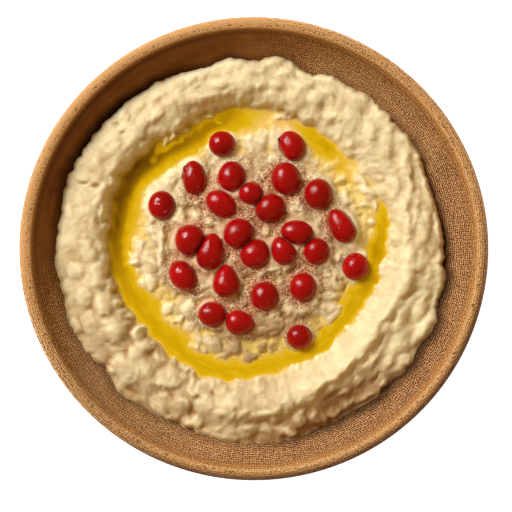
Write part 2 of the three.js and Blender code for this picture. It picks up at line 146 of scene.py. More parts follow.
# Pomegranate seeds: middle x, y, length, width, heading in degrees, taper towards the far end,
# and heading and distance of a flat side, where there is one.
SEEDS = [
    (-11.8, 38.9, 9.6, 9.2, 15, 0.05),
    (14.0, 38.1, 11.2, 9.6, 115, 0.1, 208, 4.3),
    (-22.2, 26.3, 12.2, 8.9, 94, 0.1, 180, 4.0),
    (-8.1, 26.6, 11.0, 10.1, 85, 0.0),
    (11.9, 25.8, 11.9, 10.6, 100, 0.0),
    (23.9, 20.2, 11.1, 10.1, 90, 0.0),
    (-34.1, 16.1, 10.4, 9.7, 80, 0.0),
    (-12.0, 16.5, 11.8, 8.9, -35, 0.0),
    (-1.0, 20.4, 9.2, 8.2, -20, 0.0),
    (6.0, 15.0, 11.1, 10.3, 15, 0.0),
    (32.5, 8.6, 13.2, 8.9, 122, 0.3, 32, 3.9),
    (-5.6, 5.6, 11.2, 10.5, 40, 0.0),
    (-23.4, 3.1, 11.3, 11.0, 90, 0.0),
    (-16.1, -1.0, 13.4, 9.8, 80, 0.18),
    (15.9, 6.0, 11.8, 8.8, -3, 0.0),
    (0.5, -1.8, 11.1, 10.5, 30, 0.0),
    (10.9, -0.6, 10.6, 9.4, 100, 0.0),
    (23.1, -0.9, 9.7, 9.2, 100, 0.0),
    (37.6, -6.6, 10.0, 9.5, 70, 0.0),
    (-26.0, -9.9, 11.3, 9.7, -52, 0.0, 35, 4.3),
    (-10.2, -11.7, 11.4, 9.3, 92, 0.42),
    (18.2, -14.1, 10.1, 9.5, 80, 0.0),
    (4.0, -17.5, 10.3, 10.0, 80, 0.0),
    (-15.4, -24.2, 9.9, 9.0, 0, 0.0),
    (-5.1, -27.3, 10.3, 8.6, -6, 0.25),
    (16.9, -32.7, 9.2, 8.9, 0, 0.0),
]
STEMS = {2: 155, 3: 137}  # heading of the dark stem end, where one shows
GIVE = {15: 0.15}  # how much a seed gives way where two press on each other: 1, but for these
SEED_HEIGHT = 0.8  # of a seed's width
SEED_SCALE = 1.03  # on the lengths and widths above
SEED_LIFT = 0.1  # of a seed's middle over the smooth mound
SEED_COLLAR = 0.3  # of the paste round it, over its middle
SEED_DENT = 2.5  # of the paste under it
SEED_GAP = 0.05  # between seeds that press on each other
FLAT_SHARPNESS = 8.0  # of the edges of their flat sides

# Single curds, folds and hollows of the dip: middle x, y, half length, half width, heading in
# degrees, and height, which is below 0 for a hollow.
MARKS = np.array([
    # lower left: big round curds and the gaps between them
    [-50.6, -29.7, 4.4, 4.4, 0, 2.2], [-55, -20.6, 3.2, 3.9, 0, 1.6], [-42.1, -37.5, 3.9, 3.3, 20, 1.7],
    [-39.1, -43.1, 3.2, 3.7, 0, 1.7], [-47.6, -44, 5.6, 3.8, -50, 1.7], [-29.9, -46.8, 5.2, 4.4, 10, 1.8],
    [-34, -56.8, 4, 4.2, 60, 1.6], [-27.3, -58.2, 4.3, 3.6, 15, 1.6], [-53.2, -45.3, 2.2, 2.4, 0, 1.2],
    [-38.8, -50.1, 2.9, 2.1, 10, 0.6], [-49.1, -18.6, 2.4, 3, 0, 0.9], [-42.8, -31.2, 2.7, 2.3, 0, 1.1],
    [-36.2, -34.6, 2.2, 1.8, 20, 1], [-35.1, -39, 2.2, 2.1, 0, 1], [-18, -50.5, 3, 4, 0, 1.3],
    [-7.7, -55.3, 3.6, 3.4, 0, 1.2], [-21.8, -50.8, 2.4, 3, 0, 0.9], [-22.1, -64.2, 3.6, 2, 8, 1.1],
    [-11.8, -60.5, 3.4, 2.1, 10, 1.1], [-8, -67.6, 2.6, 1.6, 0, 0.8], [-12.5, -51, 2.8, 2.6, 0, 0.9],
    [-2.5, -52.5, 3, 3.2, 0, 0.8], [-44.5, -52.5, 3, 1.8, -40, -0.7], [-35.5, -51.5, 1.2, 3.2, 60, -0.9],
    [-30.8, -52.3, 4, 0.9, 10, -0.9], [-15.5, -64.8, 3.2, 2, 10, -1.1], [-54.2, -25, 2.2, 0.9, 0, -0.9],
    [-49.6, -36.2, 3.4, 0.9, -15, -0.9], [-45, -34, 0.8, 2.6, 20, -0.8],
    # left side
    [-56.9, -9.8, 2.6, 4.7, 0, 1.3], [-62.4, -18.3, 3.2, 3.6, 0, 1], [-60.6, -27.2, 3.2, 3.8, 10, 1.1],
    [-66, -29, 2.2, 3.4, 20, 0.8], [-63.6, -28.6, 0.5, 1.6, 0, -0.6], [-65.5, -8, 3.4, 3.2, 0, 0.9],
    [-60.5, -1.5, 2.6, 3.6, 10, 0.9], [-66.8, 2.5, 2.8, 3.6, 0, 0.8], [-58.5, 8.5, 1.9, 5.2, 0, 0.7],
    [-62.6, 12.5, 3, 2.6, 20, 0.9], [-68, 14, 2.2, 3, 10, 0.7], [-54, 12.4, 2.5, 3.6, 5, 0.9],
    # upper left plateau, its bright inner edge and the shaded slope inside it
    [-47.7, 48.7, 2.4, 2.1, 0, 1], [-50.2, 45.7, 1.1, 0.8, 0, -2.6], [-48.3, 42.9, 1.5, 0.6, 50, -1.8],
    [-35.8, 56.8, 3.1, 2, 20, 0.9], [-24, 62.4, 3, 2, 15, 0.9], [-19.9, 63.6, 2.4, 1.4, 0, 0.9],
    [-19.9, 59.4, 2, 0.6, 20, -0.9], [-35.8, 49.4, 3.2, 1.9, 45, 0.9], [-17.3, 55.7, 5.2, 2.6, 22, 1],
    [-44.3, 39.4, 5, 1.9, 48, 0.8], [-50.6, 31, 4.8, 2, 55, 0.9], [-57.6, 22.8, 1.1, 1.6, 60, -2.8],
    [-62.4, 23.5, 1.3, 0.8, 20, -2.2], [-56.4, 19.6, 5.2, 1.5, 62, 0.6], [-58.7, 32.8, 2.4, 4.5, -20, 0.9],
    [-60.8, 36, 0.5, 2.6, -20, -0.6], [-63.2, 26.1, 2.5, 2.1, 0, 0.8], [-51.4, 36.4, 3.4, 2.6, 50, 0.8],
    [-41, 46, 3.2, 2.2, 45, 0.7], [-30, 55.5, 4, 2, 30, 0.7], [-42.5, 52.5, 2.4, 1.8, 40, 0.8],
    [-32.4, 38.4, 2.8, 2.2, 35, 3.7], [-28, 44, 3.4, 2.2, 40, 1.8], [-40.3, 38, 1.7, 1.4, 0, 1],
    [-51.2, 24.3, 1.7, 3.2, -10, 0.7], [-37.2, 33.4, 1.9, 1.5, 40, 1.5], [-21, 50.5, 2.4, 1.2, 5, 0.4],
    [-15.1, 48.7, 2.3, 1, 5, 1.6], [-13, 46.8, 1.7, 0.7, 0, 1.8], [-28.6, 40.6, 2.4, 1.8, 30, 3.4],
    [-24.6, 43.2, 2.2, 1.6, 20, 2.7], [-35.4, 36.6, 1.9, 1.6, 50, 1.8], [-45, -5.6, 3, 1.6, 6, 2.8],
    # top
    [7.8, 69.4, 3.8, 2, 20, 1], [-8, 68, 4.4, 2.2, 0, 0.9], [-4, 63.6, 9.5, 2.1, 20, 1],
    [7.8, 55.2, 4.5, 2.2, 0, 1.3], [10.8, 64.9, 2.6, 1.6, 0, 0.9], [18.2, 60.5, 4.2, 1.8, 5, 1],
    [22.6, 55, 3.2, 2.8, 0, 1], [28.2, 57.9, 3.4, 2.2, -10, 1], [28.2, 62.2, 4, 2.2, -15, 0.9],
    [15.6, 55.7, 2.8, 3.6, 0, 1], [30, 48.4, 4.2, 1.9, -5, 1.1], [28.2, 45.7, 2.8, 0.8, 0, -1],
    [7.8, 65.2, 0.9, 3, -40, -0.9], [36.6, 56, 2.8, 2.8, 0, 0.8], [-5.1, 54.2, 1.1, 2.4, 0, 0.8],
    [0.4, 52.8, 2.2, 1.2, 0, 0.8], [10.4, 48.7, 3.4, 1.3, 0, 1.5], [18.9, 48.3, 2.6, 2.2, 0, 1],
    [1.6, 59, 0.9, 1.8, 0, 0.7], [-12.5, 61, 4, 2.2, 25, 0.8],
    # right side: lumps drawn out along the rim
    [53.4, 15.6, 3.2, 3.3, 0, 1.1], [53.7, 6.1, 3.3, 4.6, 0, 1.2], [56, 30.9, 2.5, 5.6, 5, 1.5],
    [62.5, 18, 4.1, 3.4, 0, 1.4], [66.7, 16.9, 2.2, 2.7, 0, 1.1], [57.1, 22.8, 1.5, 4.5, 0, 1.1],
    [62.8, 7.6, 2.9, 6.4, -8, 1.2], [50.8, 22, 2.5, 4.6, 5, 1], [69, 8, 2.4, 5, 0, 1],
    [61.3, 34, 1.8, 3.4, 10, 1], [63.9, 25.3, 2.2, 4.4, 10, 0.8], [56, 40, 2.4, 2.8, 20, 0.8],
    [49.3, 40.2, 2.4, 5.6, 5, 1.2], [51.5, 33.4, 1.6, 4.4, 5, -1.4], [51.3, 47.6, 2.2, 3.2, 20, 0.9],
    [41.2, 50.2, 3, 2.3, 0, -1.4], [42.5, 42.8, 2.5, 5.6, 5, 1], [35.8, 36.4, 1.7, 3.2, 0, 0.9],
    [46, 26.1, 2.2, 1.4, 10, 0.6], [47, 50.5, 2, 2.6, 10, 0.7], [58, 12, 1, 5, 0, -1],
    [66, 10.5, 0.8, 4.4, -5, -0.9], [59, 27, 0.9, 4.6, 8, -0.8], [55.5, -3, 3, 3.6, 0, 0.9],
    [62, -5, 2.4, 4.2, 0, 0.9], [68.5, -6.5, 2.4, 3.6, 0, 0.8], [56, -13, 2.8, 4.4, -15, 0.9],
    [63, -16, 2.4, 4, -15, 0.9], [68, -18, 1.8, 3.4, -20, 0.8],
    # lower right: a bright inner bank, then a shaded terrace of knobs and slanting folds
    [1.2, -49.7, 3, 3.3, 0, 1.1], [17.8, -43.8, 1.7, 1.2, 10, -0.8], [17.1, -62.8, 2.4, 3.3, -10, 1.8],
    [22.3, -62.3, 2.3, 2.6, 0, 1.5], [12.5, -67.6, 3.8, 2.2, -5, 1.6], [26.5, -62.6, 1.9, 2.6, -20, 1.1],
    [7.5, -63, 1.9, 1.5, 0, 1.1], [-2, -66.3, 3.4, 1.9, 5, 1.1], [5, -60.4, 6.2, 1.6, 15, 1.2],
    [33.7, -52.7, 2.7, 1.5, 28, 1.3], [38.6, -48.6, 2.8, 1.9, 40, 1.3], [34.5, -57.9, 3.8, 1.9, 27, 1.4],
    [30, -61, 2.4, 2.2, 30, 1.1], [47.8, -51.2, 1.8, 2.8, -25, 1.4], [41.5, -54.7, 4, 1.8, 30, 1.3],
    [48.5, -44.9, 2, 3.1, -20, 1.2], [43.7, -41.4, 1.7, 4, -35, 1.2], [54, -33.8, 3.3, 6.6, -28, 1.9],
    [49.6, -42, 2.2, 2.2, 0, 1.2], [54.6, -25.6, 1.9, 4.6, -18, 1.2], [56, -42.2, 2.4, 3.6, -30, 1.2],
    [61.5, -31.5, 2.2, 4.6, -28, 1], [61.5, -22.5, 2.2, 4, -20, 0.9], [27.6, -54.6, 1.6, 4.6, -60, -1.2],
    [46, -35, 1.1, 5, -32, -1.4], [51, -27, 1, 4, -22, -1.2], [36, -55, 3.6, 0.7, 28, -0.9],
    [44.5, -47.8, 3, 0.9, 45, -1], [10.8, -60.2, 0.9, 3, -10, -1],
    # mound
    [-26, 18.5, 3.6, 2.7, 10, 1.2], [-16, 10, 3.3, 2.1, 15, 1.6], [-35, 5.6, 2.9, 3.8, 0, 1.3],
    [-34.2, -5, 1.4, 7.2, 5, 1.1], [-38.4, -11.5, 3, 4.2, 0, 1], [-31.7, -22.3, 2.6, 2.4, 0, 1.1],
    [-24.7, -21.6, 3, 2, 20, 0.9], [-27.7, -26, 1.7, 1.6, 0, 0.8], [16.3, 15.4, 3.9, 4.1, 0, 1.9],
    [4.6, 6.6, 1.9, 2.4, 0, 1.2], [18, -22.9, 4.4, 3, 25, 1.7], [5.5, -30.4, 5, 2, 10, 1],
    [-9.8, -38.4, 3.7, 2.1, 25, 1.2], [-14.7, -35, 2.6, 1.6, 30, 0.9], [1, -40, 2.7, 1.4, 0, 0.8],
    [29.7, -23.1, 2, 2.9, -15, 1], [-31.7, 5, 1.6, 4.2, 0, -1.9], [-17.3, -10.9, 2.4, 2, 0, -0.8],
    [-20, -19.4, 3, 1, 10, -1], [7.8, -10.4, 2.7, 1.6, 0, -0.8], [11.2, -24.5, 1.6, 1.2, 30, -0.9],
    [-0.7, -37.5, 2.4, 1.5, 10, -1.1], [-18.4, -30.5, 3.4, 2.4, 0, -1], [29.4, 31.4, 3.4, 1.7, 28, 1.4],
    [32.8, 25.4, 2.6, 1.7, 38, 0.9], [33.8, 19, 1.8, 3.4, -10, 0.9], [37.8, 19.8, 1.2, 4.2, 12, -1.2],
    [45, 16, 1.9, 1.9, 0, 0.9], [44.5, 9.8, 1.6, 1.5, 0, 1.2], [42, 20.5, 2.6, 2.8, 0, 0.9],
    [0, 39.5, 5, 3.6, 0, 0.8], [6, 43, 3.4, 2, 10, 0.8], [1.5, 33, 3.4, 2.4, 0, -0.5],
    [24.5, 31.5, 4.2, 2.6, 20, 0.8], [-30, 28, 3.2, 2.6, 50, 0.8], [-39.5, 17.5, 1.8, 3.4, 0, 0.7],
    [36, 0.4, 2.4, 3.2, 0, 1.4], [30.5, -12.5, 2.6, 2.4, 0, 0.8], [-26, -14, 2.4, 2, 0, 0.7],
    [27, 4, 2, 2.4, 0, 0.8], [-4, 12, 3, 2.2, 20, -0.6], [24, -28, 3.4, 1.6, 40, -0.7],
])


# ---- Maths ----
def smooth(t):
    """The curve 3t² - 2t³ on t kept between 0 and 1."""
    t = np.clip(t, 0, 1)
    return t * t * (3 - 2 * t)


def near(angle, middle, reach):
    """1 where an angle is the middle one in degrees, easing to 0 at reach degrees from it."""
    away = np.abs((np.degrees(angle) - middle + 180) % 360 - 180)
    return smooth(1 - away / reach)


def sectors(angle, *rows):
    """The sum, over rows of middle, reach and amount, of the amount times how near the angle is."""
    return sum(amount * near(angle, middle, reach) for middle, reach, amount in rows)


def turned(dx, dy, turn):
    """A step's lengths along a heading in radians and across it."""
    cos, sin = np.cos(turn), np.sin(turn)
    return dx * cos + dy * sin, dy * cos - dx * sin


def heading_vector(degrees, rise=0.0):
    """A vector one long on a heading, with a rise."""
    return np.array([math.cos(math.radians(degrees)), math.sin(math.radians(degrees)), rise])


def around_evenly(column, angle):
    """A closed Catmull-Rom curve through a column of values that stand SECTION_STEP degrees apart."""
    place = (np.degrees(angle) % 360) / SECTION_STEP
    first = np.floor(place).astype(int)
    t = place - first
    a, b, c, d = (column[(first + k) % len(column)] for k in (-1, 0, 1, 2))
    return b + t / 2 * (c - a + t * (2 * a - 5 * b + 4 * c - d + t * (3 * (b - c) + d - a)))


def around_eased(rows, angle):
    """A value from rows of degrees and value, eased from each row to the next round the circle."""
    degrees = np.degrees(angle) % 360
    closed = np.vstack([rows, [rows[0][0] + 360, rows[0][1]]])
    after = np.clip(np.searchsorted(closed[:, 0], degrees, side="right"), 1, len(closed) - 1)
    low, high = closed[after - 1], closed[after]
    share = smooth((degrees - low[..., 0]) / (high[..., 0] - low[..., 0]))
    return low[..., 1] + (high[..., 1] - low[..., 1]) * share


def monotone(knots, heights, x):
    """A cubic through points that never overshoots them: each knot's slope is the harmonic mean of
    the slopes of its two sides, or 0 where they differ in sign."""
    rises = [(heights[i + 1] - heights[i]) / (knots[i + 1] - knots[i]) for i in range(len(knots) - 1)]
    slopes = [rises[0]]
    for before, after in zip(rises, rises[1:]):
        product = before * after
        total = np.where(np.abs(before + after) < 1e-9, 1, before + after)
        slopes.append(np.where(product > 0, 2 * product / total, 0))
    slopes.append(rises[-1])
    result = heights[0]
    for i in range(len(rises)):
        width = knots[i + 1] - knots[i]
        t = np.clip((x - knots[i]) / width, 0, 1)
        rise = smooth(t)
        value = heights[i] * (1 - rise) + heights[i + 1] * rise
        value = value + width * t * (1 - t) * ((1 - t) * slopes[i] - t * slopes[i + 1])
        result = np.where(x >= knots[i], value, result)
    return result


def cell_random(i, j, seed):
    """A repeatable number from 0 to 1 for each whole-number cell, from a 32-bit hash."""
    i, j = (np.asarray(value).astype(np.int64) for value in (i, j))
    mixed = (i * 374761393 ^ j * 668265263 ^ seed * 2246822519) & 0xFFFFFFFF
    mixed = ((mixed ^ (mixed >> 13)) * 1274126177) & 0xFFFFFFFF
    return (mixed ^ (mixed >> 16)) / 4294967296


def waves(u, v, size, seed, wrap=None):
    """Gradient noise, about -1 to 1: each corner of a square grid has a slope in a random direction,
    and the four corners' slopes are eased into each other. Cells repeat after wrap columns."""
    u, v = u / size, v / size
    i, j = np.floor(u), np.floor(v)
    du, dv = u - i, v - j
    corners = []
    for a in (0, 1):
        cell = (i + a) % wrap if wrap else i + a
        for b in (0, 1):
            direction = TURN * cell_random(cell, j + b, seed)
            corners.append((du - a) * np.cos(direction) + (dv - b) * np.sin(direction))
    s, t = smooth(du), smooth(dv)
    low = corners[0] * (1 - t) + corners[1] * t
    high = corners[2] * (1 - t) + corners[3] * t
    return 1.5 * (low * (1 - s) + high * s)


def puffs(u, v, size, seed, wrap=None, softness=0.12):
    """Puffy lumps of no regular shape: the size of gradient noise without its sign, 0 to about 1,
    so that creases run where the noise changes sign; softness rounds them."""
    return np.sqrt(waves(u, v, size, seed, wrap) ** 2 + softness**2) - softness


def lumps(u, v, size_u, size_v, seed, wrap=None, melt=2.0):
    """Rounded lumps, one in each cell of a shaken grid. Each is the cap 1 - d², eased, around a point,
    with a width, a height, a slant and an oval of its own, and they melt into each other as the sum
    of powers does: the greater melt, the sharper the creases. Cells repeat after wrap columns."""
    column, row = np.floor(u / size_u), np.floor(v / size_v)
    total = np.zeros(np.shape(u))
    for i in (column - 1, column, column + 1):
        cell = i % wrap if wrap else i
        for j in (row - 1, row, row + 1):
            du = u / size_u - (i + 0.2 + 0.6 * cell_random(cell, j, seed))
            dv = v / size_v - (j + 0.2 + 0.6 * cell_random(cell, j, seed + 1))
            along, aside = turned(du, dv, math.pi * cell_random(cell, j, seed + 4))
            oval = 0.75 + 0.55 * cell_random(cell, j, seed + 5)
            reach = 0.6 + 0.4 * cell_random(cell, j, seed + 2)
            cap = smooth(1 - ((along * oval) ** 2 + (aside / oval) ** 2) / reach**2)
            total += (cap * (0.3 + 0.7 * cell_random(cell, j, seed + 3))) ** melt
    return total ** (1 / melt)


def length_round(angle):
    """Length round the ring from +X, at RING_RADIUS."""
    return (angle % TURN) * RING_RADIUS


def round_waves(along, across, count, seed):
    """Gradient noise with count cells round the ring, so that it closes."""
    return waves(along, across, RING_LENGTH / count, seed, count)


# ---- Meshes ----
def add_piece(name, points, faces, material, node, attributes):
    """Makes a smooth mesh from points in millimetres, attaches it to the root body and hides the
    part of model.glb that it replaces.
    """
    mesh = bpy.data.meshes.new(name)
    mesh.from_pydata((np.asarray(points) * MM).tolist(), [], faces.tolist())
    mesh.polygons.foreach_set("use_smooth", np.ones(len(mesh.polygons), dtype=bool))
    for key, values in attributes.items():
        layer = mesh.attributes.new(key, "FLOAT", "POINT")
        layer.data.foreach_set("value", np.asarray(values, dtype=np.float32).ravel())
    mesh.materials.append(material)
    mesh.update()
    piece = bpy.data.objects.new(name, mesh)
    bpy.context.scene.collection.objects.link(piece)
    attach(piece, "root")
    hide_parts(node)
    return piece


def grid_faces(rows, columns, closed=False):
    """Quads between the rows and columns of a grid of points; closed joins the last column to the
    first."""
    i, j = np.meshgrid(np.arange(rows - 1), np.arange(columns if closed else columns - 1), indexing="ij")
    right = (j + 1) % columns
    corners = [(i, j), (i, right), (i + 1, right), (i + 1, j)]
    return np.stack([row * columns + column for row, column in corners], -1).reshape(-1, 4)


def polar_points(angle, radius, height):
    """Points from an angle and a radius about the middle, and a height."""
    return np.stack(np.broadcast_arrays(radius * np.cos(angle), radius * np.sin(angle), height), -1)


# ---- Materials ----
class Nodes:
    """A short way to write a material's node tree: each call adds a node and returns its output."""

    def __init__(self, name):
        self.material = bpy.data.materials.new(name)
        self.material.use_nodes = True
        self.tree = self.material.node_tree
        self.shader = self.tree.nodes["Principled BSDF"]

    def add(self, kind, output=0, settings=None, **inputs):
        """An input's key is its label with _ for each space, or i and its number."""
        node = self.tree.nodes.new(kind)
        for key, value in (settings or {}).items():
            setattr(node, key, value)
        for key, value in inputs.items():
            numbered = key[0] == "i" and key[1:].isdigit()
            self.put(node.inputs[int(key[1:]) if numbered else key.replace("_", " ")], value)
        return node.outputs[output]

    def put(self, socket, value):
        """Links a node's output to a socket, or sets a constant on the socket itself."""
        if isinstance(value, bpy.types.NodeSocket):
            self.tree.links.new(value, socket)
        else:
            socket.default_value = value

    def set(self, **inputs):
        """Sets or links inputs of the shader."""
        for key, value in inputs.items():
            self.put(self.shader.inputs[key.replace("_", " ")], value)

    def math(self, operation, *values):
        inputs = {f"i{k}": value for k, value in enumerate(values)}
        return self.add("ShaderNodeMath", settings={"operation": operation}, **inputs)

    def plus(self, *values):
        return reduce(partial(self.math, "ADD"), values)

    def times(self, *values):
        return reduce(partial(self.math, "MULTIPLY"), values)

    def vector(self, operation, *values, output=0):
        inputs = {f"i{k}": value for k, value in enumerate(values)}
        return self.add("ShaderNodeVectorMath", output=output, settings={"operation": operation}, **inputs)

    def noise(self, vector, scale, detail=3.0, roughness=0.55):
        return self.add("ShaderNodeTexNoise", Vector=vector, Scale=scale, Detail=detail, Roughness=roughness)

    def attribute(self, name):
        return self.add("ShaderNodeAttribute", output=2, settings={"attribute_name": name})

    def place(self):
        """Object coordinates."""
        return self.add("ShaderNodeTexCoord", output=3)

    def mix(self, share, one, other):
        """Two colours mixed, by the share of the second."""
        node = self.tree.nodes.new("ShaderNodeMix")
        node.data_type = "RGBA"
        for index, value in ((0, share), (6, one), (7, other)):
            self.put(node.inputs[index], value)
        return node.outputs[2]

    def ramp(self, value, *stops):
        """A colour ramp; each stop is a place and a colour."""
        node = self.tree.nodes.new("ShaderNodeValToRGB")
        stones = node.color_ramp.elements
        while len(stones) < len(stops):
            stones.new(0.5)
        for stone, (place, shade) in zip(stones, stops):
            stone.position, stone.color = place, shade
        self.put(node.inputs[0], value)
        return node.outputs[0]

    def range(self, value, low, high, out_low=0.0, out_high=1.0):
        """A value carried over from low and high to out_low and out_high, and kept between them."""
        return self.add("ShaderNodeMapRange", i0=value, i1=low, i2=high, i3=out_low, i4=out_high)

    def bump(self, height, distance, strength):
        return self.add("ShaderNodeBump", Strength=strength, Distance=distance, Height=height)


def colour(red, green, blue):
    """A colour given in 0 to 255 display values, as the linear numbers that shaders take."""
    shares = (red / 255, green / 255, blue / 255)
    return (*(s / 12.92 if s <= 0.04045 else ((s + 0.055) / 1.055) ** 2.4 for s in shares), 1.0)


def wood_material():
    """Oiled turned wood: fine threads that run round the bowl and across it, longer streaks, a rim rubbed
    paler with a row of dark pores, and painted light and shade: a painted highlight band along the
    bead, painted shade in the notch at the bead's foot and on the rim's outer side, a painted shade
    tint and painted side light on the wall, and a dark painted shadow beside the dip. The grain is
    noise on a drum: the direction from the bowl's middle, and radius with a share of the height."""
    n = Nodes("oiled_wood")
    place = n.place()
    flat = n.vector("MULTIPLY", place, (1.0, 1.0 / BOWL_OVAL, 0.0))
    radius = n.vector("LENGTH", flat, output=1)
    height = n.add("ShaderNodeSeparateXYZ", output=2, i0=place)
    profile = n.plus(radius, n.times(height, 0.35))
    turn = n.math("ARCTAN2", n.add("ShaderNodeSeparateXYZ", output=1, i0=flat),
                  n.add("ShaderNodeSeparateXYZ", output=0, i0=flat))

    def drum(along, across):
        raised = n.add("ShaderNodeCombineXYZ", i0=0.0, i1=0.0, i2=n.times(profile, across))
        return n.vector("ADD", n.vector("MULTIPLY", n.vector("NORMALIZE", flat), (along, along, 0.0)), raised)

    broad = n.noise(drum(4.0, 140.0), 1.0, 4.0)
    streak = n.noise(drum(9.0, 600.0), 1.0, 3.0, 0.6)
    bend = n.times(n.noise(drum(60.0, 700.0), 1.0, 1.0), 10.0)
    warp = n.math("SINE", n.plus(n.times(profile, TURN / (THREAD * MM)), bend))
    weft = n.math("SINE", n.plus(n.times(turn, WEFT_THREADS), n.times(bend, 1.3)))
    dash = n.plus(n.range(warp, -1.0, 1.0, 0.0, 0.6), n.range(weft, -1.0, 1.0, 0.0, 0.4))
    pores = n.noise(drum(110.0, 1500.0), 1.0, 1.0, 0.5)
    # painted light and shade: the wood lighter towards 55 and 235 degrees and darker towards 145 and 325, as
    # the light falls
    tone = n.plus(n.times(broad, 0.6), n.times(streak, 0.4), n.times(n.attribute("painted_side_light"), 0.13))
    base = n.ramp(tone, (0.28, colour(110, 62, 26)), (0.5, colour(161, 109, 62)),
                  (0.72, colour(208, 158, 105)))
    # painted shade: a warmer, less blue tint over the upper left wall, which lies in shade
    base = n.mix(n.times(n.attribute("painted_shade_tint"), 0.5), base, colour(158, 96, 35))
    share = n.range(radius, WALL_RADIUS * MM, BOWL_HALF * MM)
    lip = n.times(n.range(radius, (WALL_RADIUS - 0.8) * MM, WALL_RADIUS * MM),
                  n.range(height, (WALL_TOP - 5) * MM, (WALL_TOP - 1) * MM))
    # the rim's own rubbed colour, with a painted highlight: the lighter band about a third of the way out
    # across the bead
    wear_and_highlight = n.ramp(share, (0.0, colour(166, 112, 56)), (0.18, colour(190, 136, 76)),
                  (0.32, colour(238, 190, 130)), (0.5, colour(214, 166, 110)),
                  (0.9, colour(212, 164, 112)), (1.0, colour(180, 130, 80)))
    base = n.mix(n.times(lip, 0.85), base, wear_and_highlight)
    # painted shade: a dark line at the foot of the bead, on the upper left side only, where the notch lies in
    # shade
    base = n.mix(n.attribute("painted_groove_shade"), base, colour(96, 50, 12))
    rough = n.times(n.attribute("rough"), n.range(lip, 0.0, 1.0, 1.0, 0.58))
    base = n.mix(n.times(n.range(dash, 0.5, 0.1), rough), base, colour(64, 30, 8))
    base = n.mix(n.times(n.range(dash, 0.5, 0.9, 0.0, 0.8), rough), base, colour(248, 200, 146))
    row = n.range(n.math("ABSOLUTE", n.math("SUBTRACT", share, 0.42)), 0.04, 0.14, 0.9, 0.2)
    base = n.mix(n.times(n.range(pores, 0.56, 0.64), n.times(row, lip)), base, colour(84, 44, 12))
    # painted shade: the rim's outer side darker at the lower right, away from the key light
    base = n.mix(n.attribute("shade"), base, colour(66, 22, 0))
    # painted shadow: a near black band beside the dip, where its edge shades the wall, and painted shade over
    # the upper left wall
    base = n.mix(n.attribute("painted_wall_shadow"), base, colour(36, 13, 2))
    n.set(Base_Color=base, Roughness=n.range(dash, 0.0, 1.0, 0.42, 0.6), Specular_IOR_Level=0.06,
          Normal=n.bump(n.times(dash, rough), 0.0003, 1.0))
    return n.material


def dip_material():
    """Moist cream paste: paler where painted light lies on crests, banks and shaded slopes, browner
    where painted shade lies in hollows, on the shaded terrace, on the mound's lower side and between
    curds, stained by oil at the shore, and round the seeds pinkish, with fine pale and dark crumbs."""
    n = Nodes("aubergine_paste")
    place = n.place()
    mottle = n.noise(place, 160.0, 4.0)
    crumbs = n.noise(place, 1500.0, 3.0, 0.75)
    grit = n.noise(place, 1300.0, 2.0, 0.7)
    base = n.ramp(mottle, (0.3, colour(214, 193, 147)), (0.5, colour(227, 211, 169)),
                  (0.7, colour(238, 226, 186)))
    # painted light: paler paste on crests, on the bright bank, on a patch of the terrace and on shaded slopes
    base = n.mix(n.times(n.attribute("crest"), 0.8), base, colour(252, 242, 204))
    # painted shade: browner paste in hollows and along the dip's edge
    base = n.mix(n.times(n.attribute("painted_hollow_shade"), 0.8), base, colour(174, 124, 60))
    # painted shade: browner on the shaded terrace, the mound's lower side and middle, between the curds and
    # on the shaded slope at the upper left
    base = n.mix(n.times(n.attribute("painted_brown_shade"), 0.78), base, colour(150, 106, 56))
    base = n.mix(n.range(grit, 0.5, 0.7, 0.0, 0.14), base, colour(252, 243, 210))
    base = n.mix(n.range(grit, 0.5, 0.3, 0.0, 0.12), base, colour(184, 142, 88))
    patches = n.range(n.noise(place, 120.0, 3.0, 0.6), 0.4, 0.52)
    blush = n.times(n.attribute("blush"), patches)
    crumb = n.ramp(crumbs, (0.4, colour(60, 24, 6)), (0.47, colour(164, 96, 54)),
                   (0.52, colour(206, 144, 92)), (0.57, colour(255, 240, 208)))
    base = n.mix(n.times(blush, 0.94), base, crumb)
    base = n.mix(n.range(n.attribute("blush"), 0.8, 1.0, 0.0, 0.42), base, colour(192, 84, 54))
    base = n.mix(n.attribute("stain"), base, colour(234, 208, 122))
    relief = n.plus(n.noise(place, 600.0, 3.0, 0.5), n.times(crumbs, n.times(blush, 3.0)))
    n.set(Base_Color=base, Roughness=n.range(mottle, 0.35, 0.65, 0.5, 0.62), Specular_IOR_Level=0.12,
          Normal=n.bump(relief, 0.0005, 0.6), Subsurface_Weight=0.7, Subsurface_Radius=(1.0, 0.8, 0.5),
          Subsurface_Scale=0.0017)
    return n.material


def oil_material():
    """Olive oil: clear where it thins out over the paste, golden, and olive where it is deep or where
    painted shade darkens it under the upper left shore, with a painted sheen of pale streaks along
    its flow."""
    n = Nodes("olive_oil")
    depth = n.attribute("depth")
    base = n.ramp(depth, (0.0, colour(228, 198, 120)), (0.12, colour(222, 192, 86)),
                  (0.25, colour(222, 186, 34)), (0.4, colour(218, 181, 8)), (0.65, colour(200, 160, 0)),
                  (1.0, colour(126, 88, 0)))
    # painted sheen: pale streaks along the oil's flow, away from its deepest part
    streaks = n.times(n.range(n.attribute("sheen"), 0.5, 0.95), n.range(depth, 0.1, 0.4, 0.0, 0.4),
                      n.range(depth, 0.55, 0.8, 1.0, 0.0))
    base = n.mix(streaks, base, colour(236, 202, 44))
    cover = n.ramp(n.attribute("film"), (0.0, (0.0, 0.0, 0.0, 1.0)), (0.06, (0.6, 0.6, 0.6, 1.0)),
                   (0.2, (1.0, 1.0, 1.0, 1.0)))
    n.set(Base_Color=base, Alpha=cover, Roughness=0.16, IOR=1.47, Specular_IOR_Level=0.3)
    return n.material


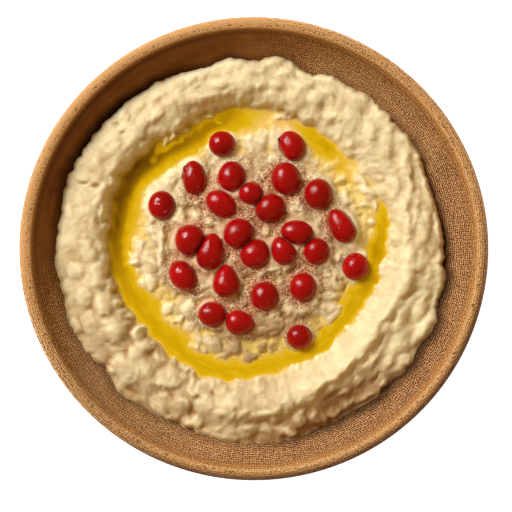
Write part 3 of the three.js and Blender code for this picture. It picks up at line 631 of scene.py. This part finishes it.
def seed_material():
    """Wet pomegranate flesh: deep red, a little light passing through, darker spots under an uneven
    wet skin."""
    n = Nodes("pomegranate")
    place = n.place()
    each = n.noise(place, 55.0, 1.0)
    cloud = n.noise(place, 420.0, 3.0)
    base = n.ramp(each, (0.35, colour(150, 0, 4)), (0.5, colour(162, 0, 6)), (0.65, colour(175, 0, 9)))
    base = n.mix(n.range(cloud, 0.45, 0.75, 0.0, 0.35), base, colour(130, 0, 4))
    base = n.mix(n.attribute("stem"), base, colour(52, 8, 4))
    bumps = n.plus(n.noise(place, 420.0, 2.0, 0.5), n.times(n.noise(place, 1800.0, 1.0, 0.5), 0.12))
    skin = n.plus(n.noise(place, 700.0, 1.0, 0.5), n.times(n.noise(place, 2200.0, 0.0), 0.5))
    n.set(Base_Color=base, Roughness=0.34, Specular_IOR_Level=0.05, Normal=n.bump(bumps, 0.0006, 0.6),
          Coat_Weight=0.65, Coat_Roughness=0.04, Coat_Normal=n.bump(skin, 0.0004, 0.42),
          Subsurface_Weight=0.85, Subsurface_Radius=(1.0, 0.01, 0.01), Subsurface_Scale=0.0045)
    return n.material


# ---- Bowl ----
def wall_height(radius):
    """Height of the bowl's inside: one quadrant of a superellipse of power WALL_POWER."""
    t = np.clip(radius / WALL_RADIUS, 0, 1)
    return WALL_TOP - (WALL_TOP - FLOOR_HEIGHT) * (1 - t**WALL_POWER) ** (1 / WALL_POWER)


def oval_radius(x, y):
    """Radius of a point before the bowl is drawn in to an oval."""
    return np.hypot(x, y / BOWL_OVAL)


def bezier(corners, count):
    """A cubic Bezier curve with four corners: the corners' sum by the Bernstein weights."""
    t = np.linspace(0, 1, count)[:, None]
    p = np.array(corners, dtype=float)
    return (1 - t)**3 * p[0] + 3 * (1 - t)**2 * t * p[1] + 3 * (1 - t) * t**2 * p[2] + t**3 * p[3]


def bowl_profile():
    """Radius and height from the inner floor's middle over the rim to the middle of the foot."""
    radius = WALL_RADIUS * np.sin(np.linspace(0, math.pi / 2, INSIDE_RINGS))
    inside = np.column_stack([radius, wall_height(radius)])
    turn = np.radians(np.linspace(172, 0, BEAD_RINGS))
    bead = np.column_stack([BOWL_HALF - BEAD_RADIUS * (1 - np.cos(turn)),
                            WALL_TOP + BEAD_RADIUS * np.sin(turn)])
    outside = bezier([(BOWL_HALF, WALL_TOP), (BOWL_HALF - 1.5, WALL_TOP - 16),
                      (FOOT_OUTER + 19, FOOT_EDGE + 10.5), (FOOT_OUTER, FOOT_EDGE)], OUTSIDE_RINGS)
    foot = [(FOOT_OUTER - 0.1, FOOT_EDGE - 0.3), (FOOT_OUTER, 0.5), (FOOT_OUTER - 0.15, 0.15),
            (FOOT_OUTER - 0.5, 0.0), (FOOT_INNER + 0.4, 0.0), (FOOT_INNER, 0.3),
            (FOOT_INNER - 1, FOOT_RECESS), (FOOT_INNER - 2, FOOT_RECESS), (0.0, FOOT_RECESS)]
    return np.vstack([[(0.0, FLOOR_HEIGHT)], inside[1:], bead, outside[1:], foot])


def make_bowl(material):
    """The profile carried round an oval: x = r cos a, y = oval r sin a. Its attributes say where the
    wall gets painted shadow beside the dip and a painted shade tint, how rough its grain is, where
    painted shade darkens the rim's outer side and the notch at the bead's foot, and where painted
    side light makes the wood lighter or darker."""
    profile = bowl_profile()
    radius, height = profile[:, :1], profile[:, 1:]
    angle = np.arange(BOWL_SEGMENTS) * TURN / BOWL_SEGMENTS
    points = polar_points(angle, radius, height)
    points[..., 1] *= BOWL_OVAL
    inside = (np.arange(len(profile)) < INSIDE_RINGS)[:, None]
    beyond = radius - edge_radius(angle)
    # Painted shadow on the wall: a dark band beside the dip where its edge would shade it, widest at the
    # upper left and lower right.
    reach = 3.6 + sectors(angle, (135, 65, 1.8), (318, 60, 1.2)) + round_waves(length_round(angle), 0, 40, 97)
    # how strong that painted shadow is, by direction
    wet = np.maximum(near(angle, 135, 65), 0.78 * smooth(2 * near(angle, 325, 66)))
    painted_wall_shadow = (0.36 + 0.62 * wet) * smooth(1 - (beyond - 0.6) / reach)
    rim_share = (radius - WALL_RADIUS) / (BOWL_HALF - WALL_RADIUS)
    # painted shade on the rim's outer side, strongest at the lower right
    shade = 0.48 * smooth((rim_share - 0.45) / 0.25) + 0.46 * smooth((rim_share - 0.72) / 0.22)
    rough = 1.15 - 1.1 * smooth(1.8 * near(angle, 134, 78)) + 0.6 * near(angle, 220, 42)
    outer_rough = np.where(height > WALL_TOP - 1, np.maximum(rough, 0.4), 0.45)
    attributes = {
        # painted shadow beside the dip, and painted shade over the whole upper left wall
        "painted_wall_shadow": inside * np.maximum(painted_wall_shadow, 0.25 * near(angle, 140, 100)),
        # painted shade tint over the upper left wall
        "painted_shade_tint": 0.95 * inside * near(angle, 138, 112),
        "rough": np.where(inside, rough, outer_rough),
        "shade": shade * smooth(1.6 * near(angle, 296, 98)),
        # painted shade in the notch at the bead's foot, upper left side
        "painted_groove_shade": 0.85 * near(angle, 135, 92) * smooth(1 - np.abs(rim_share - 0.03) / 0.24),
        # painted side light: lighter towards 55 and 235 degrees, darker towards 145 and 325
        "painted_side_light": np.cos(2 * (angle - math.radians(55))),
    }
    attributes = {key: np.broadcast_to(values, points.shape[:2]) for key, values in attributes.items()}
    faces = grid_faces(len(profile), BOWL_SEGMENTS, closed=True)
    add_piece("turned_bowl", points.reshape(-1, 3), faces, material, "bowl", attributes)


# ---- Dip ----
def edge_radius(angle):
    """The scalloped edge with small knobs on it, about 6 and 2.4 mm long."""
    along = length_round(angle)
    knobs = 1.15 * puffs(along, 0, RING_LENGTH / 76, 41, 76) + 0.35 * round_waves(along, 0, 190, 42)
    return around_eased(EDGE, angle) + knobs - 0.45


def section_at(angle):
    """The dip's section along directions from the middle, as a dictionary of arrays."""
    inner, outer, depth, lip, lip_height, crest, crest_height, shoulder, shoulder_height = (
        around_evenly(column, angle) for column in SECTIONS.T)
    edge = edge_radius(angle)
    wall = wall_height(oval_radius(edge * np.cos(angle), edge * np.sin(angle)))
    drop = EDGE_DROP + (STEEP_DROP - EDGE_DROP) * near(angle, 318, 75)
    along = length_round(angle)
    sway = 2.1 * round_waves(along, 0, 38, 100) + 0.8 * round_waves(along, 0, 90, 101)
    return {
        "inner": inner, "outer": outer, "depth": depth, "edge": edge,
        "fold": around_eased(FOLD, angle) + sway,
        "radii": [outer, lip, crest, shoulder, edge],
        "heights": [np.full_like(angle, OIL_LEVEL), lip_height, crest_height, shoulder_height,
                    np.maximum(shoulder_height - drop, wall + EDGE_STEP)],
    }


def smooth_height(section, radius):
    """The dip without lumps: a dome inside the channel, the channel, and a monotone cubic outside it."""
    inner, outer = section["inner"], section["outer"]
    dome = np.clip(1 - (radius / inner) ** 2, 0, 1) ** MOUND_POWER
    mound = OIL_LEVEL + (MOUND_TOP - OIL_LEVEL) * dome
    across = np.clip(2 * (radius - inner) / (outer - inner) - 1, -1, 1)
    power = np.where(across < 0, 2, 4)
    channel = OIL_LEVEL - section["depth"] * (1 - np.abs(across) ** power)
    ring = monotone(section["radii"], section["heights"], radius)
    return np.where(radius <= inner, mound, np.where(radius >= outer, ring, channel))


def ragged(angle, radius, section):
    """The radius swayed near the two shores, so that they run unevenly."""
    along = length_round(angle)
    sway = round_waves(along, radius, 64, 98) + 0.5 * round_waves(along, radius, 150, 99)
    here = smooth((radius - section["inner"] + 5) / 4) * smooth((section["outer"] + 8 - radius) / 5)
    return radius + sway * (1 + 0.4 * near(angle, 222, 45)) * here


def ring_relief(angle, radius):
    """Waves, curds, folds and crumbs on the raised ring, in millimetres. The lengths round the ring
    and out from the middle are swayed first, so that no row shows."""
    length = length_round(angle)
    along = length + 1.3 * round_waves(length, radius, 48, 8)
    across = radius + 1.3 * round_waves(length, radius, 60, 7)

    def curds(count, size, seed, melt=2.0):
        return lumps(along, across, RING_LENGTH / count, size, seed, count, melt)

    lower_left, right, lower_right = near(angle, 228, 65), near(angle, 10, 75), near(angle, 318, 45)
    calm = 1 - sectors(angle, (135, 40, 0.25), (192, 35, 0.3), (75, 35, 0.2))
    relief = 1.4 * round_waves(along, across, 28, 5) + 0.9 * round_waves(along, across, 18, 6)
    relief += 0.7 * puffs(along, across, RING_LENGTH / 44, 1, 44, 0.35)
    relief += calm * (1.05 * curds(76, 4.9, 21) + 0.45 * curds(130, 2.9, 31))
    relief += 0.15 * round_waves(along, across, 230, 3)
    relief += 1.1 * lower_left * curds(46, 7, 4, 2.5) + 0.9 * right * curds(50, 9, 11, 2.5)
    relief = (relief - 1.5 - 0.4 * (lower_left + right)) * (1 - 0.3 * lower_right)
    return relief + 0.5 * lower_right * round_waves(along, 3 * across, 36, 19)


def mound_relief(x, y):
    """Waves, curds and crumbs on the mound, in millimetres."""
    u, v = x + 1.2 * waves(x, y, 6, 51), y + 1.2 * waves(x, y, 6, 52)
    relief = 1.2 * waves(u, v, 12, 55) + 1.2 * puffs(u, v, 9, 56, softness=0.3) + 0.2 * waves(u, v, 1.6, 58)
    relief += 2.0 * lumps(u, v, 5, 5, 57) + 0.6 * lumps(u, v, 2.8, 2.8, 63)
    crumbly = smooth(3 * waves(x, y, 9, 71) + 0.6) * smooth((34 - np.hypot(x, y)) / 8)
    return relief + 0.5 * crumbly * lumps(u, v, 1.5, 1.5, 73) - 2.1


def add_marks(x, y, relief):
    """Each mark is an eased cap with a wavering outline, which quietens the lumps under it. The curds
    at the lower left are rounder."""
    relief = relief.copy()
    u = x + 0.8 * waves(x, y, 4.2, 91) + 0.4 * waves(x, y, 1.8, 92)
    v = y + 0.8 * waves(x, y, 4.2, 93) + 0.4 * waves(x, y, 1.8, 94)
    for at_x, at_y, half_long, half_wide, heading, rise in MARKS:
        reach = 1.4 * max(half_long, half_wide) + 1.2
        here = (np.abs(x - at_x) < reach) & (np.abs(y - at_y) < reach)
        along, aside = turned(u[here] - at_x, v[here] - at_y, math.radians(heading))
        away = (along / half_long) ** 2 + (aside / half_wide) ** 2
        roundness = near(math.atan2(at_y, at_x), 225, 60) * (rise > 0)
        cap = np.maximum(0, 1 - away / (1.8 - 0.4 * roundness)) ** (1.6 - 0.5 * roundness)
        relief[here] = relief[here] * (1 - (0.3 + 0.3 * roundness) * smooth(cap * 2)) + 0.9 * rise * cap
    return relief


def seed_footing(x, y, height, facts):
    """Draws the smooth surface near each seed towards the seed's widest line, so that the paste hugs
    it, and under the seed down into a dent. Also returns how firmly, and how close each point is to a
    seed, both from 0 to 1."""
    hold, closeness = np.zeros_like(height), np.zeros_like(height)
    for seed in facts:
        along, aside = turned(x - seed["middle"][0], y - seed["middle"][1], seed["turn"])
        away = np.hypot(along / seed["half"][0], aside / seed["half"][1])
        closeness = np.maximum(closeness, smooth(1 - (away - 1) / 1.5))
        seat = seed["middle"][2] + SEED_COLLAR - SEED_DENT * smooth((1.02 - away) / 0.4)
        pull = smooth(1 - (away - 1) / 0.5)
        height = height + (np.minimum(seat, height + 0.9) - height) * 0.85 * pull
        hold = np.maximum(hold, pull)
    return height, hold, closeness


def dip_height(angle, radius, section, facts):
    """Smooth shape plus lumps, which are low in the channel, beside the seeds and on the shaded
    terrace outside the fold, rolled down to the wall like a quarter ellipse. Also returns how close
    each point is to a seed."""
    x, y = radius * np.cos(angle), radius * np.sin(angle)
    floor = wall_height(oval_radius(x, y)) + SEAT
    smooth_base = smooth_height(section, ragged(angle, radius, section))
    base, hold, closeness = seed_footing(x, y, smooth_base, facts)
    above = np.clip((base - OIL_LEVEL + OIL_FULL) / OIL_FULL, 0.2, 1)
    outside = smooth((radius - section["inner"]) / (section["outer"] - section["inner"]))
    relief = mound_relief(x, y) * (1 - outside) + ring_relief(angle, radius) * outside
    fold = section["fold"]
    terrace = near(angle, 303, 42) * smooth((radius - fold) / 3)
    relief = add_marks(x, y, relief * above) * (1 - 0.2 * terrace) * (1 - 0.75 * hold)
    deep = FOLD_DEPTH * near(angle, 307, 52) * (1 + 0.5 * waves(x, y, 9, 102))
    relief = relief - deep * np.exp(-((radius - fold) / FOLD_WIDTH) ** 2)
    roll = np.clip((radius - (section["edge"] - EDGE_ROUND)) / EDGE_ROUND, 0, 1)
    return floor + (base + relief - floor) * np.sqrt(1 - roll**2), closeness


def disc_grid(count):
    """A square grid from -1 to 1 bent into a disc: the coordinate farther from 0 is the share of the
    radius, and the other's ratio to it, times 45 degrees, is the angle from its axis. Returns angle
    and share of radius."""
    a, b = np.meshgrid(np.linspace(-1, 1, count), np.linspace(-1, 1, count), indexing="ij")
    wide = np.abs(a) >= np.abs(b)
    long, short = np.where(wide, a, b), np.where(wide, b, a)
    bend = math.pi / 4 * short / np.where(long == 0, 1, long)
    angle = np.where(wide, bend, math.pi / 2 - bend) + np.where(long < 0, math.pi, 0)
    return angle, np.abs(long)


def rim_of_grid(count):
    """Indices of a square grid's border, in order round it."""
    index = np.arange(count * count).reshape(count, count)
    return np.concatenate([index[:-1, 0], index[-1, :-1], index[:0:-1, -1], index[0, :0:-1]])


def neighbour_mean(height, passes):
    """Each point's mean with its four neighbours, taken again and again."""
    for _ in range(passes):
        wide = np.pad(height, 1, mode="edge")
        sides = wide[:-2, 1:-1] + wide[2:, 1:-1] + wide[1:-1, :-2] + wide[1:-1, 2:]
        height = (sides + height) / 5
    return height


def hollowness(height, passes, full):
    """How far each point lies below the mean of its surroundings, from 0 to 1 at full millimetres."""
    return smooth((neighbour_mean(height, passes) - height) / full)


def dip_shades(angle, radius, height, closeness, section):
    """Where painted shade lies in hollows and along the edge, where painted light lies on crests and
    shaded slopes, where painted shade makes the terrace and lower sides browner, and where the paste
    is stained by oil and pinkish, each from 0 to 1."""
    over_oil = height - OIL_LEVEL
    outer_side = smooth((radius - section["inner"]) / 5)
    island = 1 - outer_side
    terrace = smooth((radius - section["fold"]) / 2.5)
    bank = near(angle, 315, 65) * (1 - terrace) * outer_side
    lit_patch = near(angle, 328, 15) * smooth(1.8 - np.abs(radius - 64.5) / 3.5)
    slope = np.maximum(0.85 * near(angle, 136, 72), near(angle, 106, 34)) * smooth((39.5 - height) / 2)
    slope = slope * smooth((over_oil - 0.8) / 2) * outer_side
    # painted shade along the dip's edge at the wall, most at the lower right
    foot = smooth(1 - (section["edge"] - radius) / 1.6) * (0.3 + 0.7 * near(angle, 318, 75))

    # painted shade: browner in hollows, less so where the paste faces the light
    painted_hollow_shade = 0.4 * hollowness(height, 8, 0.4) + 0.6 * hollowness(height, 60, 1.1)
    painted_hollow_shade *= (1 - 0.92 * bank) * (1 - 0.1 * closeness) * smooth((over_oil - 0.2) / 1.2)
    painted_hollow_shade *= (1 - 0.8 * near(angle, 339, 22) * terrace) * (1 - 0.9 * slope)
    painted_hollow_shade *= (1 - 0.75 * near(angle, 38, 50)) * (1 + 0.3 * near(angle, 235, 50))
    painted_hollow_shade *= 1 + island * (1 - 1.6 * near(angle, 6, 40))
    painted_hollow_shade = np.maximum(np.minimum(painted_hollow_shade, 1), foot) * (1 - 0.7 * lit_patch)

    # painted light: crests, the shaded slope at the upper left and top, the terrace's far end, the bank and a
    # patch on the terrace are painted paler
    crest = np.maximum.reduce([
        hollowness(-height, 30, 0.9 - 0.3 * island), slope, near(angle, 341, 22) * terrace, 0.4 * bank,
        0.35 * near(angle, 50, 36) * outer_side, 0.95 * lit_patch,
    ])
    # painted shade: the terrace outside the fold, the mound's lower side and middle, the gaps between curds,
    # lower outer slopes and the upper left slope
    painted_brown_shade = np.maximum.reduce([
        1.2 * near(angle, 292, 54) * terrace * (1 - 0.75 * crest) * (1 - 0.8 * lit_patch),
        1.1 * near(angle, 278, 60) * island * smooth((radius - 24) / 8),
        0.27 * smooth((42 - radius) / 8) * (1 - crest),
        0.35 * near(angle, 225, 80) * outer_side * (1 - crest),
        0.36 * near(angle, 268, 32) * outer_side * (1 - 0.8 * crest),
        0.16 * near(angle, 150, 75) * outer_side * smooth((height - 38.5) / 1.5),
        0.5 * near(angle, 125, 16) * outer_side * smooth(1.8 - over_oil / 1.6),
    ])

    inner_film = 0.5 + sectors(angle, (245, 110, 0.5), (35, 50, 0.4))
    outer_film = 0.25 + sectors(angle, (146, 72, 1.7), (146, 40, 2.6), (112, 34, 1.8), (40, 45, 0.6))
    film = inner_film + (outer_film - inner_film) * outer_side
    film = film * (1 + 0.8 * waves(radius * np.cos(angle), radius * np.sin(angle), 3, 95))
    stain = 0.8 * smooth(1 - over_oil / film) * smooth((62 - radius) / 3)
    blush = closeness * smooth((42 - radius) / 12) * (1 - 0.7 * crest * smooth((0.95 - closeness) / 0.45))
    return {"painted_hollow_shade": painted_hollow_shade, "crest": crest, "painted_brown_shade": painted_brown_shade, "stain": stain, "blush": blush}


def make_dip(material, facts):
    """A disc: the surface seen from above, and under it rings that run along the bowl's wall to the
    middle."""
    angle, share = disc_grid(DIP_GRID)
    section = section_at(angle)
    radius = share * section["edge"]
    height, closeness = dip_height(angle, radius, section, facts)
    soft = smooth((radius - section["outer"]) / 3) * smooth((section["edge"] - radius - 0.5) / 1.5)
    height = height + soft * (neighbour_mean(height, 1) - height)
    top = polar_points(angle, radius, height).reshape(-1, 3)
    rim = rim_of_grid(DIP_GRID)
    under_x, under_y = (top[rim, axis] * UNDER_SHARES[:, None] for axis in (0, 1))
    under = np.stack([under_x, under_y, wall_height(oval_radius(under_x, under_y)) + SEAT], -1).reshape(-1, 3)
    rings = np.vstack([rim, len(top) + np.arange(under_x.size).reshape(under_x.shape)])
    after = np.roll(rings, -1, axis=1)
    under_faces = np.stack([rings[:-1], rings[1:], after[1:], after[:-1]], -1).reshape(-1, 4)
    shades = dip_shades(angle, radius, height, closeness, section)
    attributes = {key: np.append(values, np.zeros(len(under))) for key, values in shades.items()}
    points = np.vstack([top, under])
    faces = np.vstack([grid_faces(DIP_GRID, DIP_GRID), under_faces])
    add_piece("spread_dip", points, faces, material, "baba_ganoush", attributes)


# ---- Oil ----
def oil_tone(angle, across, depth):
    """How deep the oil looks, where 1 is full: its depth, with painted shade making it darker under
    the shaded outer shore at the upper left, and darker or paler in some other places.
    """
    rich = 0.58 + 0.3 * near(angle, 150, 100) * smooth(across + 0.9) + 0.3 * near(angle, 2, 30)
    uneven = 1 - 0.45 * near(angle, 84, 16) + 0.4 * near(angle, 54, 18) * smooth(across + 0.6)
    tone = depth / OIL_FULL * rich * uneven
    tone += smooth(depth) * sectors(angle, (114, 34, 0.1), (340, 65, 0.14))
    # painted shade: darker olive near the outer shore at the upper left, where the raised ring shades the oil
    tone += near(angle, 150, 52) * smooth(across + 0.35) * (0.07 + 0.18 * smooth(depth / 1.4))
    # painted shade: at least this dark along the outer side at the upper left
    return np.maximum(tone, 0.74 * near(angle, 122, 46) * smooth(across + 0.45))


def oil_film(angle, across, depth):
    """How thick a film the oil makes, where 1 is full: its depth, and less where it runs thin."""
    thin = sectors(angle, (50, 28, 0.5), (92, 22, 0.4))
    thin = thin + sectors(angle, (230, 32, 0.5), (124, 30, -1.2)) * smooth(across + 0.2)
    return 0.6 * depth / OIL_FULL * (1 - thin)


def make_oil(name, first, last, material, facts):
    """A level sheet over the channel, from degree to degree, which ends inside the dip beyond both
    shores. Its attributes are how deep it looks with its painted shade, its film, and the painted
    sheen that streaks it."""
    rows = round((last - first) * OIL_ROWS_PER_DEGREE)
    degrees, across = np.meshgrid(np.linspace(first, last, rows), np.linspace(-1.5, 1.5, OIL_COLUMNS),
                                  indexing="ij")
    angle = np.radians(degrees)
    section = section_at(angle)
    middle = (section["inner"] + section["outer"]) / 2
    radius = middle + across * (section["outer"] - section["inner"]) / 2
    depth = OIL_LEVEL - dip_height(angle, radius, section, facts)[0]
    points = polar_points(angle, radius, OIL_LEVEL).reshape(-1, 3)
    attributes = {
        "depth": oil_tone(angle, across, depth),
        "film": oil_film(angle, across, depth),
        # painted sheen along the flow
        "sheen": 0.5 + 0.5 * waves(angle * RING_RADIUS / STREAK_STRETCH, radius, 1.1, 81),
    }
    attributes = {key: np.clip(values, 0, 1) for key, values in attributes.items()}
    faces = grid_faces(rows, OIL_COLUMNS)[:, ::-1]
    pool = add_piece(f"pool_{name}", points, faces, material, name, attributes)
    pool.visible_shadow = False  # clear oil lets light through


# ---- Seeds ----
def seed_facts():
    """Each seed's middle, half sizes, turn, taper, flat sides, stem and give. Seeds that press on each
    other get a flat side each."""
    facts = []
    for number, (x, y, length, width, heading, taper, *flat) in enumerate(SEEDS, 1):
        section = section_at(np.array(math.atan2(y, x)))
        facts.append({
            "middle": np.array([x, y, float(smooth_height(section, math.hypot(x, y))) + SEED_LIFT]),
            "half": SEED_SCALE * np.array([length, width, width * SEED_HEIGHT]) / 2,
            "turn": math.radians(heading), "taper": taper,
            "flats": [(heading_vector(flat[0]), flat[1])] if flat else [],
            "stem": STEMS.get(number), "give": GIVE.get(number, 1.0),
        })
    for one, other in combinations(facts, 2):
        press_together(one, other)
    return facts


def support(seed, direction):
    """How far an untapered seed reaches from its middle along a direction."""
    along, aside = turned(direction[0], direction[1], seed["turn"])
    return float(np.linalg.norm(seed["half"] * (along, aside, direction[2])))


def press_together(one, other):
    """Gives two seeds that would cross a flat side each, SEED_GAP apart."""
    apart = other["middle"] - one["middle"]
    distance = float(np.linalg.norm(apart))
    direction = apart / distance
    reach_one, reach_other = support(one, direction), support(other, direction)
    room = distance - reach_one - reach_other
    if room > SEED_GAP:
        return
    share = one["give"] / (one["give"] + other["give"])
    one["flats"].append((direction, reach_one + (room - SEED_GAP) * share))
    other["flats"].append((-direction, reach_other + (room - SEED_GAP) * (1 - share)))


def make_seed(name, seed, material):
    """An egg: the ellipsoid's angle along its heading and the angle round it, narrowed by the taper,
    then drawn in to each flat side with a soft edge, and drawn out to a point at its stem."""
    along, turn = np.meshgrid(np.linspace(0, math.pi, SEED_RINGS), np.arange(SEED_SIDES) * TURN / SEED_SIDES,
                              indexing="ij")
    half_length, half_width, half_height = seed["half"]
    narrow = 1 - 0.9 * seed["taper"] * np.cos(along)
    a = half_length * np.cos(along)
    b = half_width * np.sin(along) * np.cos(turn) * narrow
    c = half_height * np.sin(along) * np.sin(turn) * narrow
    egg = np.stack([*turned(a, b, -seed["turn"]), c], -1)
    for direction, distance in seed["flats"]:
        reach = egg @ direction
        limit = np.where(reach > 0.05, distance / np.maximum(reach, 0.05), 20.0)
        egg = egg * ((1 + limit**-FLAT_SHARPNESS) ** (-1 / FLAT_SHARPNESS))[..., None]
    size = np.linalg.norm(egg, axis=-1)
    stem = np.zeros_like(size)
    if seed["stem"] is not None:
        toward = (egg @ heading_vector(seed["stem"], 0.25)) / np.maximum(size, 0.1)
        stem = np.exp(-np.maximum(0, 1.03 - toward) / 0.02)
        egg = egg * (1 + 0.16 * stem[..., None])
    points = (egg + seed["middle"]).reshape(-1, 3)
    faces = grid_faces(SEED_RINGS, SEED_SIDES, closed=True)
    add_piece(f"fresh_{name}", points, faces, material, name, {"stem": np.clip(1.2 * stem, 0, 1)})


# ---- Stage ----
IMAGE_SIZE = 512
IMAGE_MIDDLE = (253.8, 248.6)  # pixel of the bowl's middle
IMAGE_HALF_WIDTH = 234.5  # pixels from there to the rim's outside, along X
LENS, SENSOR = 100.0, 36.0
FLOOR_HALF = 1.5  # metres
LOOK_HEIGHT = 0.03  # metres, of the point that the lights look at


def make_camera():
    """Straight above the bowl, at the height where half its rim is IMAGE_HALF_WIDTH pixels wide."""
    metres_per_pixel = BOWL_HALF * MM / IMAGE_HALF_WIDTH
    distance = metres_per_pixel * IMAGE_SIZE * LENS / SENSOR
    data = bpy.data.cameras.new("camera")
    data.lens, data.sensor_width = LENS, SENSOR
    camera = bpy.data.objects.new("camera", data)
    x = (IMAGE_SIZE / 2 - IMAGE_MIDDLE[0]) * metres_per_pixel
    y = (IMAGE_MIDDLE[1] - IMAGE_SIZE / 2) * metres_per_pixel
    camera.location = (x, y, WALL_TOP * MM + distance)
    bpy.context.scene.collection.objects.link(camera)
    bpy.context.scene.camera = camera


def add_light(name, place, size, power, tint):
    """A square area light that looks at the bowl."""
    data = bpy.data.lights.new(name, "AREA")
    data.size, data.energy, data.color = size, power, tint
    light = bpy.data.objects.new(name, data)
    light.location = place
    x, y, z = place
    light.rotation_euler = (math.atan2(math.hypot(x, y), z - LOOK_HEIGHT), 0, math.atan2(x, -y))
    bpy.context.scene.collection.objects.link(light)


def make_stage():
    """A floor that glows white, a warm world, a soft key light and a small light for glints."""
    n = Nodes("pale_floor")
    n.set(Base_Color=(0.9, 0.9, 0.9, 1), Roughness=0.8, Emission_Color=(0.92, 0.96, 1.0, 1),
          Emission_Strength=1.0)
    mesh = bpy.data.meshes.new("floor")
    corners = [(x * FLOOR_HALF, y * FLOOR_HALF, 0) for x, y in ((-1, -1), (1, -1), (1, 1), (-1, 1))]
    mesh.from_pydata(corners, [], [(0, 1, 2, 3)])
    mesh.materials.append(n.material)
    floor = bpy.data.objects.new("floor", mesh)
    bpy.context.scene.collection.objects.link(floor)
    world = bpy.data.worlds.new("studio")
    world.use_nodes = True
    background = world.node_tree.nodes["Background"]
    background.inputs["Color"].default_value = (1.0, 0.62, 0.22, 1)
    background.inputs["Strength"].default_value = 0.31
    bpy.context.scene.world = world
    add_light("key", (-1.152, 1.038, 1.506), 0.95, 50.5, (1.0, 0.99, 0.96))
    add_light("glint", (0.75, -1.2, 1.4), 0.1, 0.45, (1.0, 0.96, 0.92))
    bpy.context.scene.view_settings.view_transform = "Standard"


make_camera()
make_stage()
make_bowl(wood_material())
seeds = seed_facts()
make_dip(dip_material(), seeds)
oil = oil_material()
for pool_name, (first_degree, last_degree) in POOLS.items():
    make_oil(pool_name, first_degree, last_degree, oil, seeds)
flesh = seed_material()
for number, seed in enumerate(seeds, 1):
    make_seed(f"seed_{number:02d}", seed, flesh)
